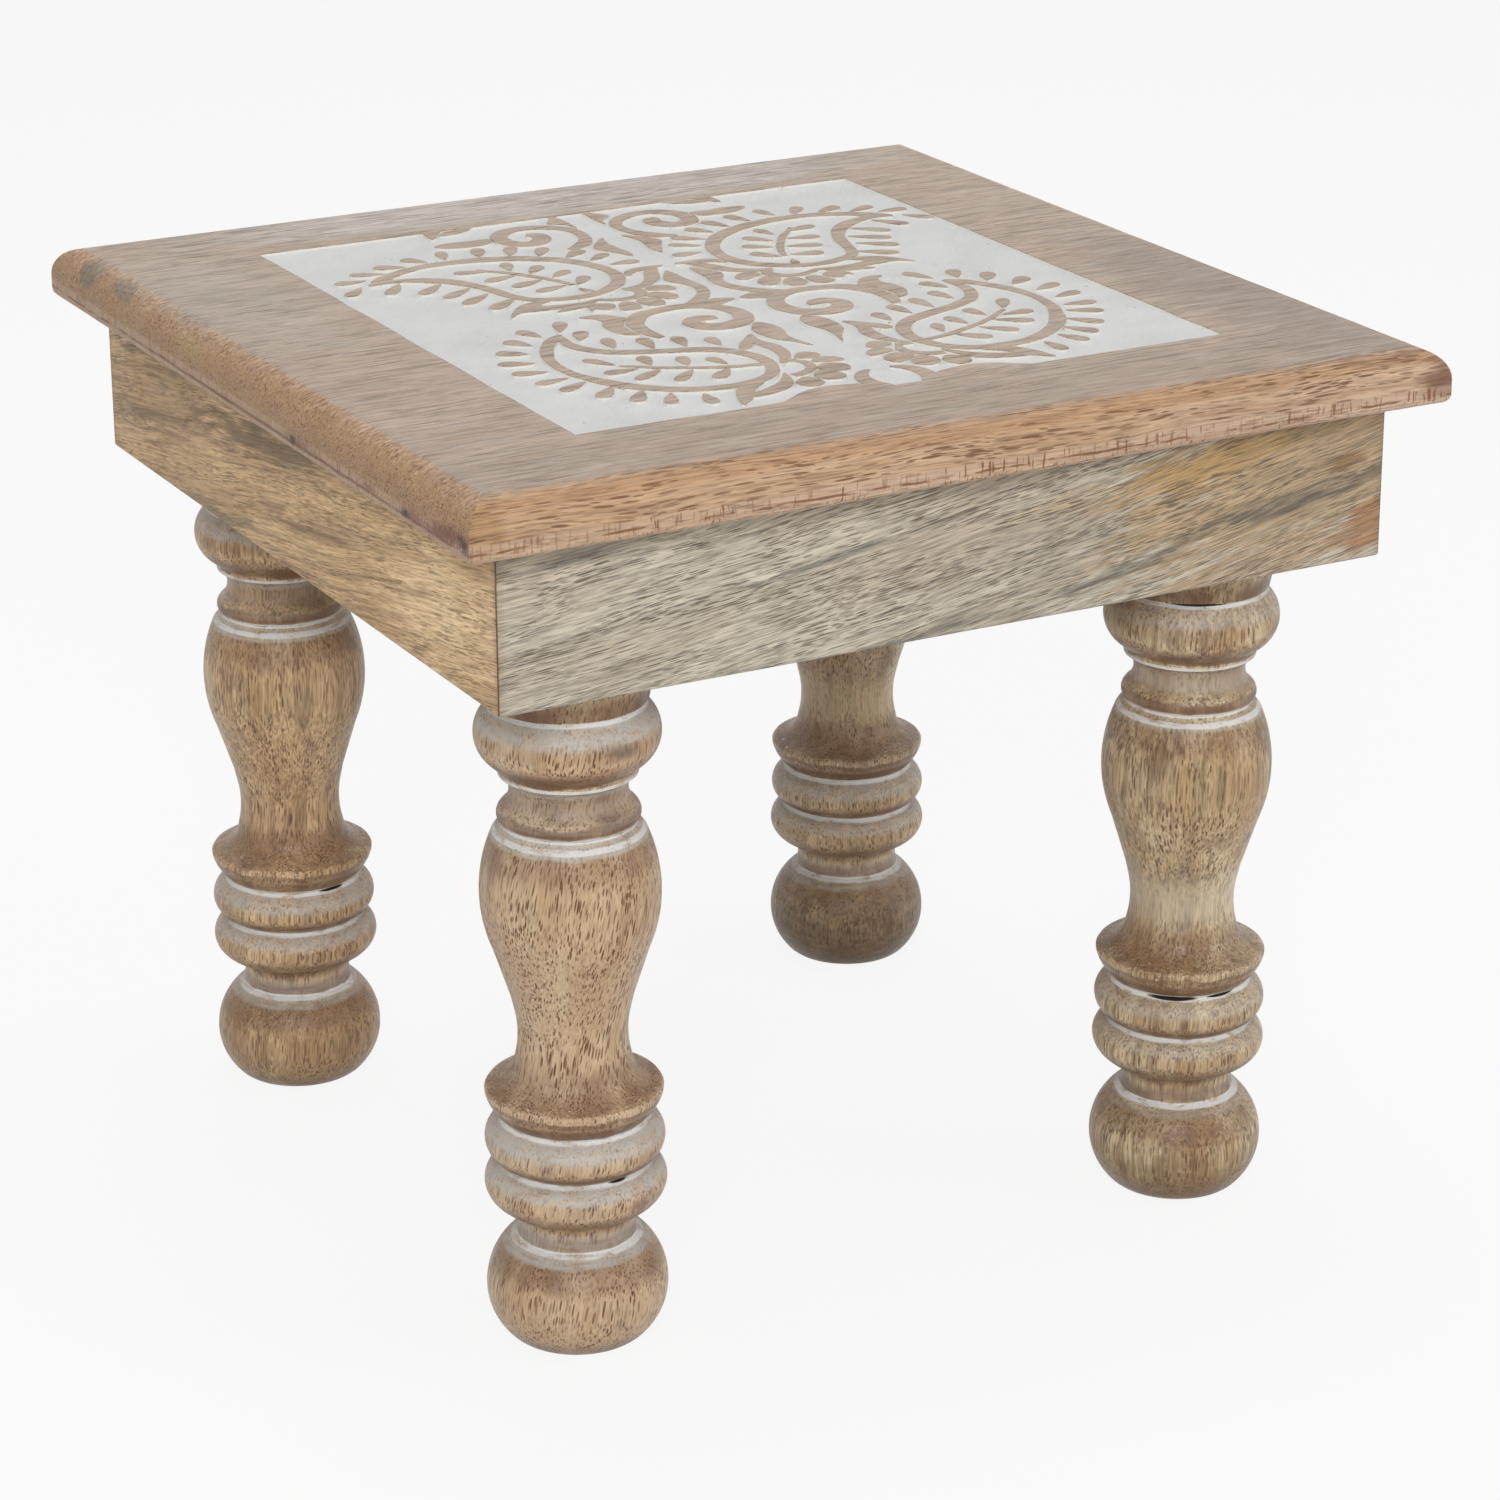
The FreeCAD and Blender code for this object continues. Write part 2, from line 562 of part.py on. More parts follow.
def apron_board(side, turn):
    """A board mitred at both ends, drawn as the front one and turned to its side."""
    body = new_body(f"apron_{side}", turn)
    bind(body, Placement__Base__z=APRON_BOTTOM)
    outline = new_sketch(body, "outline", "XY_Plane")
    polygon(outline, [
        (f"-{BOARD_OUTSIDE}", f"-{BOARD_OUTSIDE}"),
        (BOARD_OUTSIDE, f"-{BOARD_OUTSIDE}"),
        (BOARD_INSIDE, f"-{BOARD_INSIDE}"),
        (f"-{BOARD_INSIDE}", f"-{BOARD_INSIDE}"),
    ])
    pad(body, outline, "Sizes.apron_height")
    outer_face = number_of(f"-{BOARD_OUTSIDE}")
    fillet(
        body,
        "Sizes.board_under_round",
        lambda edge: lies_at(edge, "z", 0) and lies_at(edge, "y", outer_face),
    )
    dowel_holes = new_sketch(body, "dowel_holes", "XZ_Plane", BOARD_INSIDE)
    leg_places = [f"-{LEG_CENTRE}", LEG_CENTRE]
    circles(dowel_holes, DOWEL_HOLE_RADIUS, [(x, z) for x in leg_places for z in DOWEL_HEIGHTS])
    pocket(body, dowel_holes, DOWEL_BOARD_DEPTH, along_normal=True)
    pilots = new_sketch(body, "pilots", "XZ_Plane", BOARD_INSIDE)
    screw_height = "(Sizes.apron_height - Sizes.cleat_height / 2)"
    circles(pilots, SCREW_HOLE_RADIUS, [(x, screw_height) for x in screw_places(SIDE_SCREW_SHARE)])
    pocket(body, pilots, SIDE_SCREW_DEPTH, along_normal=True)


def cleat(side, turn):
    """A square-edged batten under the slab with screw holes outwards and upwards."""
    body = new_body(f"cleat_{side}", turn)
    bind(body, Placement__Base__z=CLEAT_BOTTOM)
    outline = new_sketch(body, "outline", "XY_Plane")
    ends = (f"-{CLEAT_HALF_LENGTH}", CLEAT_HALF_LENGTH)
    rectangle(outline, *ends, f"-{BOARD_INSIDE}", f"-{CLEAT_INSIDE}")
    pad(body, outline, "Sizes.cleat_height")
    outward = new_sketch(body, "outward_screws", "XZ_Plane", CLEAT_INSIDE)
    side_places = [(x, "Sizes.cleat_height / 2") for x in screw_places(SIDE_SCREW_SHARE)]
    circles(outward, SCREW_HOLE_RADIUS, side_places)
    screw_holes(body, outward, along_normal=True)
    upward = new_sketch(body, "upward_screws", "XY_Plane")
    top_places = [(x, f"-{CLEAT_MIDDLE}") for x in screw_places(TOP_SCREW_SHARE)]
    circles(upward, SCREW_HOLE_RADIUS, top_places)
    screw_holes(body, upward, along_normal=True)


def leg_runs():
    """Half the outline of a leg: up from the foot, round the block and down the axis."""
    place = ("Sizes.foot_radius", "0")
    runs = []
    for shares in LEG_OUTLINE_SHARES:
        heights, radii = shares[::2], shares[1::2]
        run = [(f"({radius} * {BLANK_HALF})", f"({height} * {TURNED_LENGTH})")
               for height, radius in zip(heights, radii)]
        runs.append((place, *run))
        place = run[-1]
    block = [place, (place[0], SLAB_UNDERSIDE), ("0", SLAB_UNDERSIDE), ("0", "0"), runs[0][0]]
    return runs + runs_between(block)


def revolve(body, sketch):
    """Turn a sketch about its own upright axis."""
    feature = body.newObject("PartDesign::Revolution", f"{sketch.Name}_turned")
    feature.Profile = sketch
    feature.ReferenceAxis = (sketch, ["V_Axis"])
    feature.Angle = FULL_TURN
    doc.recompute()


def leg(corner, turn, place):
    """A leg turned below its square top, drawn with its outer faces to the left and front."""
    body = new_body(f"leg_{corner}", turn)
    bind_place(body, *place, "0")
    outline = new_sketch(body, "outline", "XZ_Plane")
    closed_outlines(outline, [leg_runs()])
    revolve(body, outline)
    waste = new_sketch(body, "waste", "XY_Plane")
    square(waste, "Sizes.leg_side")
    square(waste, BLANK_HALF)
    pocket(body, waste, SLAB_UNDERSIDE, along_normal=True)
    heights = [f"({APRON_BOTTOM} + {height})" for height in DOWEL_HEIGHTS]
    left_holes = new_sketch(body, "left_holes", "YZ_Plane", f"-{BLANK_HALF}")
    circles(left_holes, DOWEL_HOLE_RADIUS, [("0", height) for height in heights])
    pocket(body, left_holes, DOWEL_LEG_DEPTH, along_normal=True)
    front_holes = new_sketch(body, "front_holes", "XZ_Plane", BLANK_HALF)
    circles(front_holes, DOWEL_HOLE_RADIUS, [("0", height) for height in heights])
    pocket(body, front_holes, DOWEL_LEG_DEPTH)


def dowels(corner, turn, place):
    """The four dowels of a corner, two into each of the leg's outer faces."""
    body = new_body(f"dowels_{corner}", turn)
    bind_place(body, *place, APRON_BOTTOM)
    centres = [("0", height) for height in DOWEL_HEIGHTS]
    left_ends = new_sketch(body, "left_ends", "YZ_Plane", f"-{DOWEL_REACH}")
    circles(left_ends, DOWEL_RADIUS, centres)
    pad(body, left_ends, "Sizes.dowel_length")
    front_ends = new_sketch(body, "front_ends", "XZ_Plane", DOWEL_REACH)
    circles(front_ends, DOWEL_RADIUS, centres)
    pad(body, front_ends, "Sizes.dowel_length", against_normal=True)
    base = body.Tip
    rims = [f"Edge{number}" for number, edge in enumerate(base.Shape.Edges, start=1) if edge.Closed]
    feature = body.newObject("PartDesign::Chamfer", f"{body.Name}_chamfer")
    feature.Base = (base, rims)
    bind(feature, Size="Sizes.dowel_chamfer")
    doc.recompute()


def screw_pair(name, turn, height, sketch_place, length, direction=""):
    """Two countersunk screws of one kind on one side, the second a mirror image of the first."""
    body = new_body(name, turn)
    bind(body, Placement__Base__z=height)
    outline = new_sketch(body, "outline", *sketch_place)
    shank_end = f"({length} - Sizes.screw_tip_height)"
    corners = [
        (SCREW_HEAD_RADIUS, "0"),
        (SCREW_RADIUS, f"({direction}Sizes.screw_head_height)"),
        (SCREW_RADIUS, f"({direction}{shank_end})"),
        ("(Sizes.screw_tip_diameter / 2)", f"({direction}{length})"),
        ("0", f"({direction}{length})"),
        ("0", "0"),
    ]
    polygon(outline, corners)
    revolve(body, outline)
    second = body.newObject("PartDesign::Mirrored", f"{name}_mirrored")
    second.Originals = [body.Tip]
    second.MirrorPlane = (origin_feature(body, "YZ_Plane"), [""])
    body.Tip = second
    doc.recompute()


def top_screws(side, turn):
    """The screws that hold the slab, heads in the underside of the cleat."""
    place = ("XZ_Plane", CLEAT_MIDDLE, screw_places(TOP_SCREW_SHARE)[0])
    screw_pair(f"top_screws_{side}", turn, CLEAT_BOTTOM, place, "Sizes.top_screw_length")


def side_screws(side, turn):
    """The screws that hold the cleat to its board, heads in the inner face of the cleat."""
    place = ("XY_Plane", "0", screw_places(SIDE_SCREW_SHARE)[0], f"-{CLEAT_INSIDE}")
    height = f"({SLAB_UNDERSIDE} - Sizes.cleat_height / 2)"
    screw_pair(f"side_screws_{side}", turn, height, place, "Sizes.side_screw_length", "-")


def require_sound():
    """Stop if any object has an error or any sub-part isn't a sound solid."""
    broken = [item.Label for item in doc.Objects if {"Invalid", "Error"} & set(item.State)]
    broken += [body.Label for body in sub_parts if body.Shape.isNull() or not body.Shape.isValid()]
    if broken:
        raise ValueError(f"did not build: {', '.join(broken)}")


def main():
    """Build every piece and write one file for each."""
    top_slab()
    for index, side in enumerate(SIDES):
        turn = index * QUARTER_TURN
        apron_board(side, turn)
        cleat(side, turn)
        side_screws(side, turn)
        top_screws(side, turn)
    for index, (corner, signs) in enumerate(zip(CORNERS, CORNER_SIGNS)):
        turn = index * QUARTER_TURN
        place = [f"{sign}{LEG_CENTRE}" for sign in signs]
        leg(corner, turn, place)
        dowels(corner, turn, place)
    doc.recompute()
    require_sound()
    os.makedirs("parts", exist_ok=True)
    for body in sub_parts:
        body.Shape.exportStep(f"parts/{body.Label}.step")


main()
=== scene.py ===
import logging
import math
from dataclasses import dataclass, field
from enum import Enum
from functools import cached_property

import bmesh
import bpy
from mathutils import Matrix, Vector, noise
from mathutils.geometry import delaunay_2d_cdt


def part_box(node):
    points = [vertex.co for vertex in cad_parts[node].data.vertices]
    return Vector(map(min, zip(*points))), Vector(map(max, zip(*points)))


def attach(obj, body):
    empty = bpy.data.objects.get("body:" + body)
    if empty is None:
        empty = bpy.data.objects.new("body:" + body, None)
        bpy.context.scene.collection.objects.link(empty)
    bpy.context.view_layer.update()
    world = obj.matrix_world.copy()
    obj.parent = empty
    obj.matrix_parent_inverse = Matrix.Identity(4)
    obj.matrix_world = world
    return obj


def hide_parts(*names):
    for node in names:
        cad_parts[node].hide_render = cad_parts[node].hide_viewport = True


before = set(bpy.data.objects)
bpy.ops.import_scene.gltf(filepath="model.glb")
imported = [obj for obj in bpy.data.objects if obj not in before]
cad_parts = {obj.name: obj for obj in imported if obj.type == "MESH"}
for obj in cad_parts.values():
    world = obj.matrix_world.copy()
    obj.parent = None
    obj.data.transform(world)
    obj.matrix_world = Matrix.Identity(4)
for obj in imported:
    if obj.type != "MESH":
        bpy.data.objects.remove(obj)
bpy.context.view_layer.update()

MM = 0.001
TOUCH = 0.01 * MM
WHITE = (1.0, 1.0, 1.0)
log = logging.getLogger("low_table")

Colour = tuple[float, float, float]
Point = tuple[float, float, float]

# the sockets of a Mix node for colours: its share, its two colours and its result
SHARE, FIRST, SECOND, MIXED = 0, 6, 7, 2


class Side(Enum):
    """A side of the table, as the turn from the front about the upright axis."""

    FRONT = 0
    RIGHT = 90
    BACK = 180
    LEFT = 270

    @property
    def node(self) -> str:
        """The name that this side has in node names."""
        return self.name.lower()


class Corner(Enum):
    """A corner of the table, as the signs of its x and y."""

    FRONT_LEFT = (-1, -1)
    FRONT_RIGHT = (1, -1)
    BACK_RIGHT = (1, 1)
    BACK_LEFT = (-1, 1)

    @property
    def node(self) -> str:
        """The name that this corner has in node names."""
        return self.name.lower()


class Shade:
    """A shader value. Sums and products of it become Math nodes."""

    def __init__(self, sheet: "Sheet", link: bpy.types.NodeSocket) -> None:
        """Wrap an output socket of a sheet's node."""
        self.sheet = sheet
        self.link = link

    def _math(self, operation: str, first: object, second: object = 0.0) -> "Shade":
        """Add one Math node."""
        return self.sheet.node("ShaderNodeMath", {"operation": operation}, {0: first, 1: second})

    def __add__(self, other: object) -> "Shade":
        """This value plus another."""
        return self._math("ADD", self, other)

    __radd__ = __add__

    def __sub__(self, other: object) -> "Shade":
        """This value less another."""
        return self._math("SUBTRACT", self, other)

    def __rsub__(self, other: object) -> "Shade":
        """Another value less this one."""
        return self._math("SUBTRACT", other, self)

    def __mul__(self, other: object) -> "Shade":
        """This value times another."""
        return self._math("MULTIPLY", self, other)

    __rmul__ = __mul__

    def __truediv__(self, other: object) -> "Shade":
        """This value over another."""
        return self._math("DIVIDE", self, other)

    def most(self, other: object) -> "Shade":
        """The larger of this value and another."""
        return self._math("MAXIMUM", self, other)

    def least(self, other: object) -> "Shade":
        """The smaller of this value and another."""
        return self._math("MINIMUM", self, other)

    def size(self) -> "Shade":
        """This value without its sign."""
        return self._math("ABSOLUTE", self)

    def step(self, low: float, high: float) -> "Shade":
        """A smooth step of this value.

        Args:
            low: where the step starts, at 0.
            high: where it ends, at 1. It may be below low for a falling step.

        Returns:
            The step, between 0 and 1.
        """
        if low > high:
            return 1.0 - self.step(high, low)
        return self.sheet.node(
            "ShaderNodeMapRange",
            {"interpolation_type": "SMOOTHSTEP"},
            {"Value": self, "From Min": low, "From Max": high},
        )


class Sheet:
    """The node tree of one material or of the world."""

    def __init__(self, owner: bpy.types.Material | bpy.types.World) -> None:
        """Empty the owner's node tree."""
        self.owner = owner
        self.owner.use_nodes = True
        self.tree = self.owner.node_tree
        self.tree.nodes.clear()

    @cached_property
    def place(self) -> Shade:
        """Object coordinates."""
        return self.node("ShaderNodeTexCoord", {}, {}, "Object")

    def node(self, kind: str, settings: dict, inputs: dict, output: str | int = 0) -> Shade:
        """Add a node of any kind.

        Args:
            kind: the node's type.
            settings: what is set before the sockets.
            inputs: a value or a link for each socket, by name or number.
            output: the output that comes back.

        Returns:
            The wrapped output.
        """
        item = self.add(kind, settings, inputs)
        return Shade(self, item.outputs[output])

    def add(self, kind: str, settings: dict, inputs: dict) -> bpy.types.Node:
        """Add a node of any kind and fill its sockets.

        Args:
            kind: the node's type.
            settings: what is set before the sockets.
            inputs: a value or a link for each socket, by name or number.

        Returns:
            The node itself.
        """
        item = self.tree.nodes.new(kind)
        for name, value in settings.items():
            setattr(item, name, value)
        for name, value in inputs.items():
            socket = item.inputs[name]
            if isinstance(value, Shade):
                self.tree.links.new(value.link, socket)
            else:
                socket.default_value = self._fitted(value, socket)
        return item

    @staticmethod
    def _fitted(value: object, socket: bpy.types.NodeSocket) -> object:
        """A plain value in the form that the socket takes.

        Args:
            value: the value; a colour may come without its alpha.
            socket: the socket that takes it.

        Returns:
            The value, with an alpha for a colour socket.
        """
        if socket.type == "RGBA" and isinstance(value, tuple):
            return (*value, 1.0)
        return value

    def grain(self, size: Point, turn: Point = (0, 0, 0), centre: Point = (0, 0, 0)) -> Shade:
        """Object coordinates measured in grain lengths.

        Args:
            size: the length of one unit along each axis, in mm.
            turn: the angles of the grain, in degrees.
            centre: the point that becomes zero, in mm.

        Returns:
            The coordinates.
        """
        return self.node(
            "ShaderNodeMapping",
            {"vector_type": "TEXTURE"},
            {
                "Vector": self.place,
                "Location": tuple(v * MM for v in centre),
                "Rotation": tuple(math.radians(v) for v in turn),
                "Scale": tuple(v * MM for v in size),
            },
        )

    def bent(self, turn: Point, centre: Point, bend: float, sway: float) -> Shade:
        """Object coordinates in mm along curved fibres.

        Args:
            turn: the angles of the fibres at the centre, in degrees.
            centre: the point that becomes zero, in mm.
            bend: how much the fibres curve towards z, per mm.
            sway: how far they wander to the sides, in mm.

        Returns:
            The coordinates, x along the fibres.
        """
        course = self.grain((1, 1, 1), turn, centre)
        if bend:
            along = self.node("ShaderNodeSeparateXYZ", {}, {0: course}, 0)
            lift = self.node("ShaderNodeCombineXYZ", {}, {2: along * along * -bend})
            course = self.node("ShaderNodeVectorMath", {"operation": "ADD"}, {0: course, 1: lift})
        inputs = {"Vector": self.scaled(course, (55, 15, 15)), "Scale": 1.0, "Detail": 1.0}
        wander = self.node("ShaderNodeTexNoise", {}, inputs, "Color")
        inputs = {0: wander, 1: (0.0, sway, sway), 2: course}
        return self.node("ShaderNodeVectorMath", {"operation": "MULTIPLY_ADD"}, inputs)

    def scaled(self, place: Shade, size: Point) -> Shade:
        """Coordinates divided by a size along each axis."""
        settings = {"operation": "DIVIDE"}
        return self.node("ShaderNodeVectorMath", settings, {0: place, 1: size})

    def noise(self, place: Shade, detail: float = 2.0, twist: float = 0.0) -> Shade:
        """Soft noise about one half, one unit of the place per wave."""
        inputs = {"Vector": place, "Scale": 1.0, "Detail": detail, "Distortion": twist}
        return self.node("ShaderNodeTexNoise", {}, inputs)

    def waves(
        self,
        size: Point,
        detail: float,
        turn: Point = (0, 0, 0),
        twist: float = 0.0,
        centre: Point = (0, 0, 0),
    ) -> Shade:
        """Soft noise on the object.

        Args:
            size: the length of a wave along each axis, in mm.
            detail: how many finer layers are added.
            turn: the angles of the waves, in degrees.
            twist: how far the noise distorts itself.
            centre: the point that becomes zero, in mm.

        Returns:
            The noise, about one half.
        """
        return self.noise(self.grain(size, turn, centre), detail, twist)

    def cells(self, place: Shade) -> tuple[Shade, Shade]:
        """Distance to the nearest of scattered points, and that point's own random level."""
        item = self.add("ShaderNodeTexVoronoi", {}, {"Vector": place, "Scale": 1.0})
        return Shade(self, item.outputs["Distance"]), Shade(self, item.outputs["Color"])

    def mix(self, share: object, first: object, second: object) -> Shade:
        """Mix two colours.

        Args:
            share: how much of the second colour shows.
            first: a colour or its link.
            second: a colour or its link.

        Returns:
            The mixed colour.
        """
        inputs = {SHARE: share, FIRST: first, SECOND: second}
        return self.node("ShaderNodeMix", {"data_type": "RGBA"}, inputs, MIXED)

    def tint(self, colour: object, level: object) -> Shade:
        """A colour times a grey level.

        Args:
            colour: a colour or its link.
            level: the grey level.

        Returns:
            The darker or lighter colour.
        """
        level = self.node("ShaderNodeCombineXYZ", {}, {0: level, 1: level, 2: level})
        settings = {"data_type": "RGBA", "blend_type": "MULTIPLY"}
        inputs = {SHARE: 1.0, FIRST: colour, SECOND: level}
        return self.node("ShaderNodeMix", settings, inputs, MIXED)

    def axis(self, number: int) -> Shade:
        """One object coordinate in mm."""
        split = self.node("ShaderNodeSeparateXYZ", {}, {0: self.place}, number)
        return split / MM

    def length(self, vector: Shade) -> Shade:
        """The length of a vector."""
        return self.node("ShaderNodeVectorMath", {"operation": "LENGTH"}, {0: vector}, "Value")

    def white_where_seen(self) -> Shade:
        """Find the rays that show the background.

        Returns:
            One on rays that see it straight, mirrored or through glass, and zero on others.
        """
        path = self.add("ShaderNodeLightPath", {}, {})
        straight, mirrored, through = (
            Shade(self, path.outputs[f"Is {kind} Ray"])
            for kind in ("Camera", "Glossy", "Transmission")
        )
        return straight.most(mirrored).most(through)

    def close(self, shader: Shade) -> bpy.types.Material | bpy.types.World:
        """Join a shader to the output.

        Args:
            shader: the finished shader.

        Returns:
            The material or the world that owns the nodes.
        """
        kind = "World" if isinstance(self.owner, bpy.types.World) else "Material"
        self.add(f"ShaderNodeOutput{kind}", {}, {"Surface": shader})
        return self.owner

    def surface(
        self,
        colour: object,
        roughness: object,
        relief: Shade | None = None,
        relief_mm: float = 0.1,
        **constants: object,
    ) -> bpy.types.Material:
        """Close the material with one surface shader.

        Args:
            colour: the base colour.
            roughness: the roughness.
            relief: the height of the fine surface, in shares of relief_mm.
            relief_mm: the depth of the relief.
            constants: further sockets of the shader, with underscores for blanks.

        Returns:
            The finished material.
        """
        inputs = {"Base Color": colour, "Roughness": roughness}
        inputs |= {name.replace("_", " "): value for name, value in constants.items()}
        if relief is not None:
            bump = {"Height": relief, "Distance": relief_mm * MM, "Strength": 1.0}
            inputs["Normal"] = self.node("ShaderNodeBump", {}, bump)
        return self.close(self.node("ShaderNodeBsdfPrincipled", {}, inputs))


@dataclass(frozen=True)
class Stain:
    """A soft patch of another colour in the wood, or of painted light or shade; lengths in mm,
    angles in degrees.
    """

    centre: Point
    size: Point
    colour: Colour
    strength: float = 0.7
    turn: Point = (0, 0, 0)
    core: float = 0.35
    fray: float = 1.0

    def lay(self, sheet: Sheet, colour: Shade, ragged: Shade) -> Shade:
        """Lay the stain over a colour.

        Args:
            sheet: the material's sheet.
            colour: the colour under the stain.
            ragged: noise about zero that makes its edge uneven.

        Returns:
            The stained colour.
        """
        reach = sheet.length(sheet.grain(self.size, self.turn, self.centre)) + ragged * self.fray
        return sheet.mix(reach.step(1.0, self.core) * self.strength, colour, self.colour)


@dataclass(frozen=True)
class Band:
    """A level between two heights, fading out below and above; lengths in mm."""

    low: float
    high: float
    level: float
    below: float = 0.4
    above: float = 0.4

    def lay(self, height: Shade) -> Shade:
        """The band's level at a height."""
        rise = height.step(self.low - self.below, self.low)
        return rise * height.step(self.high + self.above, self.high) * self.level


@dataclass(frozen=True)
class Wood:
    """Open-pored hardwood. The fibres run along the x axis of its turned coordinates."""

    pale: Colour
    warm: Colour
    streak: Colour
    pore: Colour
    turn: Point = (0, 0, 0)
    centre: Point = (0, 0, 0)
    bend: float = 0.0
    sway: float = 5.0
    pore_size: Point = (9.0, 0.9, 0.9)
    pore_reach: float = 0.28
    fleck_size: Point = (4.6, 0.62, 0.62)
    fleck_reach: float = 0.3
    pore_strength: float = 0.85
    line_size: tuple[float, float] = (26.0, 0.42)
    line_strength: float = 0.4
    streak_strength: float = 0.55
    fibre_depth: float = 0.45
    stains: tuple[Stain, ...] = ()

    def colour(self, sheet: Sheet) -> tuple[Shade, Shade]:
        """The wood's colour and fine relief.

        Args:
            sheet: the material's sheet.

        Returns:
            The colour, and the height of the surface from about -1 to 1.
        """
        course = sheet.bent(self.turn, self.centre, self.bend, self.sway)

        def pattern(along: float, across: float, detail: float, twist: float = 0.0) -> Shade:
            """Noise this long and this wide, in mm."""
            return sheet.noise(sheet.scaled(course, (along, across, across)), detail, twist)

        def pores(size: Point, reach: float) -> Shade:
            """Scattered short marks, each as strong as its own random level."""
            gap, own = sheet.cells(sheet.scaled(course, size))
            return gap.step(reach, reach * 0.6) * own.step(0.0, 0.5)

        colour = sheet.mix(pattern(95.0, 17.0, 3.0, 0.6).step(0.36, 0.66), self.pale, self.warm)
        bands = pattern(70.0, 2.4, 4.0, 0.4).step(0.46, 0.74)
        colour = sheet.mix(bands * self.streak_strength, colour, self.streak)
        ragged = (pattern(16.0, 2.2, 4.0) - 0.5) * 1.5
        for stain in self.stains:
            colour = stain.lay(sheet, colour, ragged)
        fibres = pattern(14.0, 0.5, 3.0).step(0.3, 0.7)
        colour = sheet.tint(colour, fibres * self.fibre_depth + (1.02 - self.fibre_depth / 2.0))
        crowd = pattern(26.0, 5.0, 3.0).step(0.36, 0.62)
        lines = pattern(*self.line_size, 1.0).step(0.57, 0.66) * (crowd * 0.5 + 0.5)
        colour = sheet.mix(lines * self.line_strength, colour, self.pore)
        marks = pores(self.pore_size, self.pore_reach).most(
            pores(self.fleck_size, self.fleck_reach) * (crowd * 0.6 + 0.3)
        )
        marks = marks * (crowd * 0.35 + 0.65)
        colour = sheet.mix(marks * self.pore_strength, colour, self.pore)
        return colour, fibres * 0.4 - marks - lines * 0.5


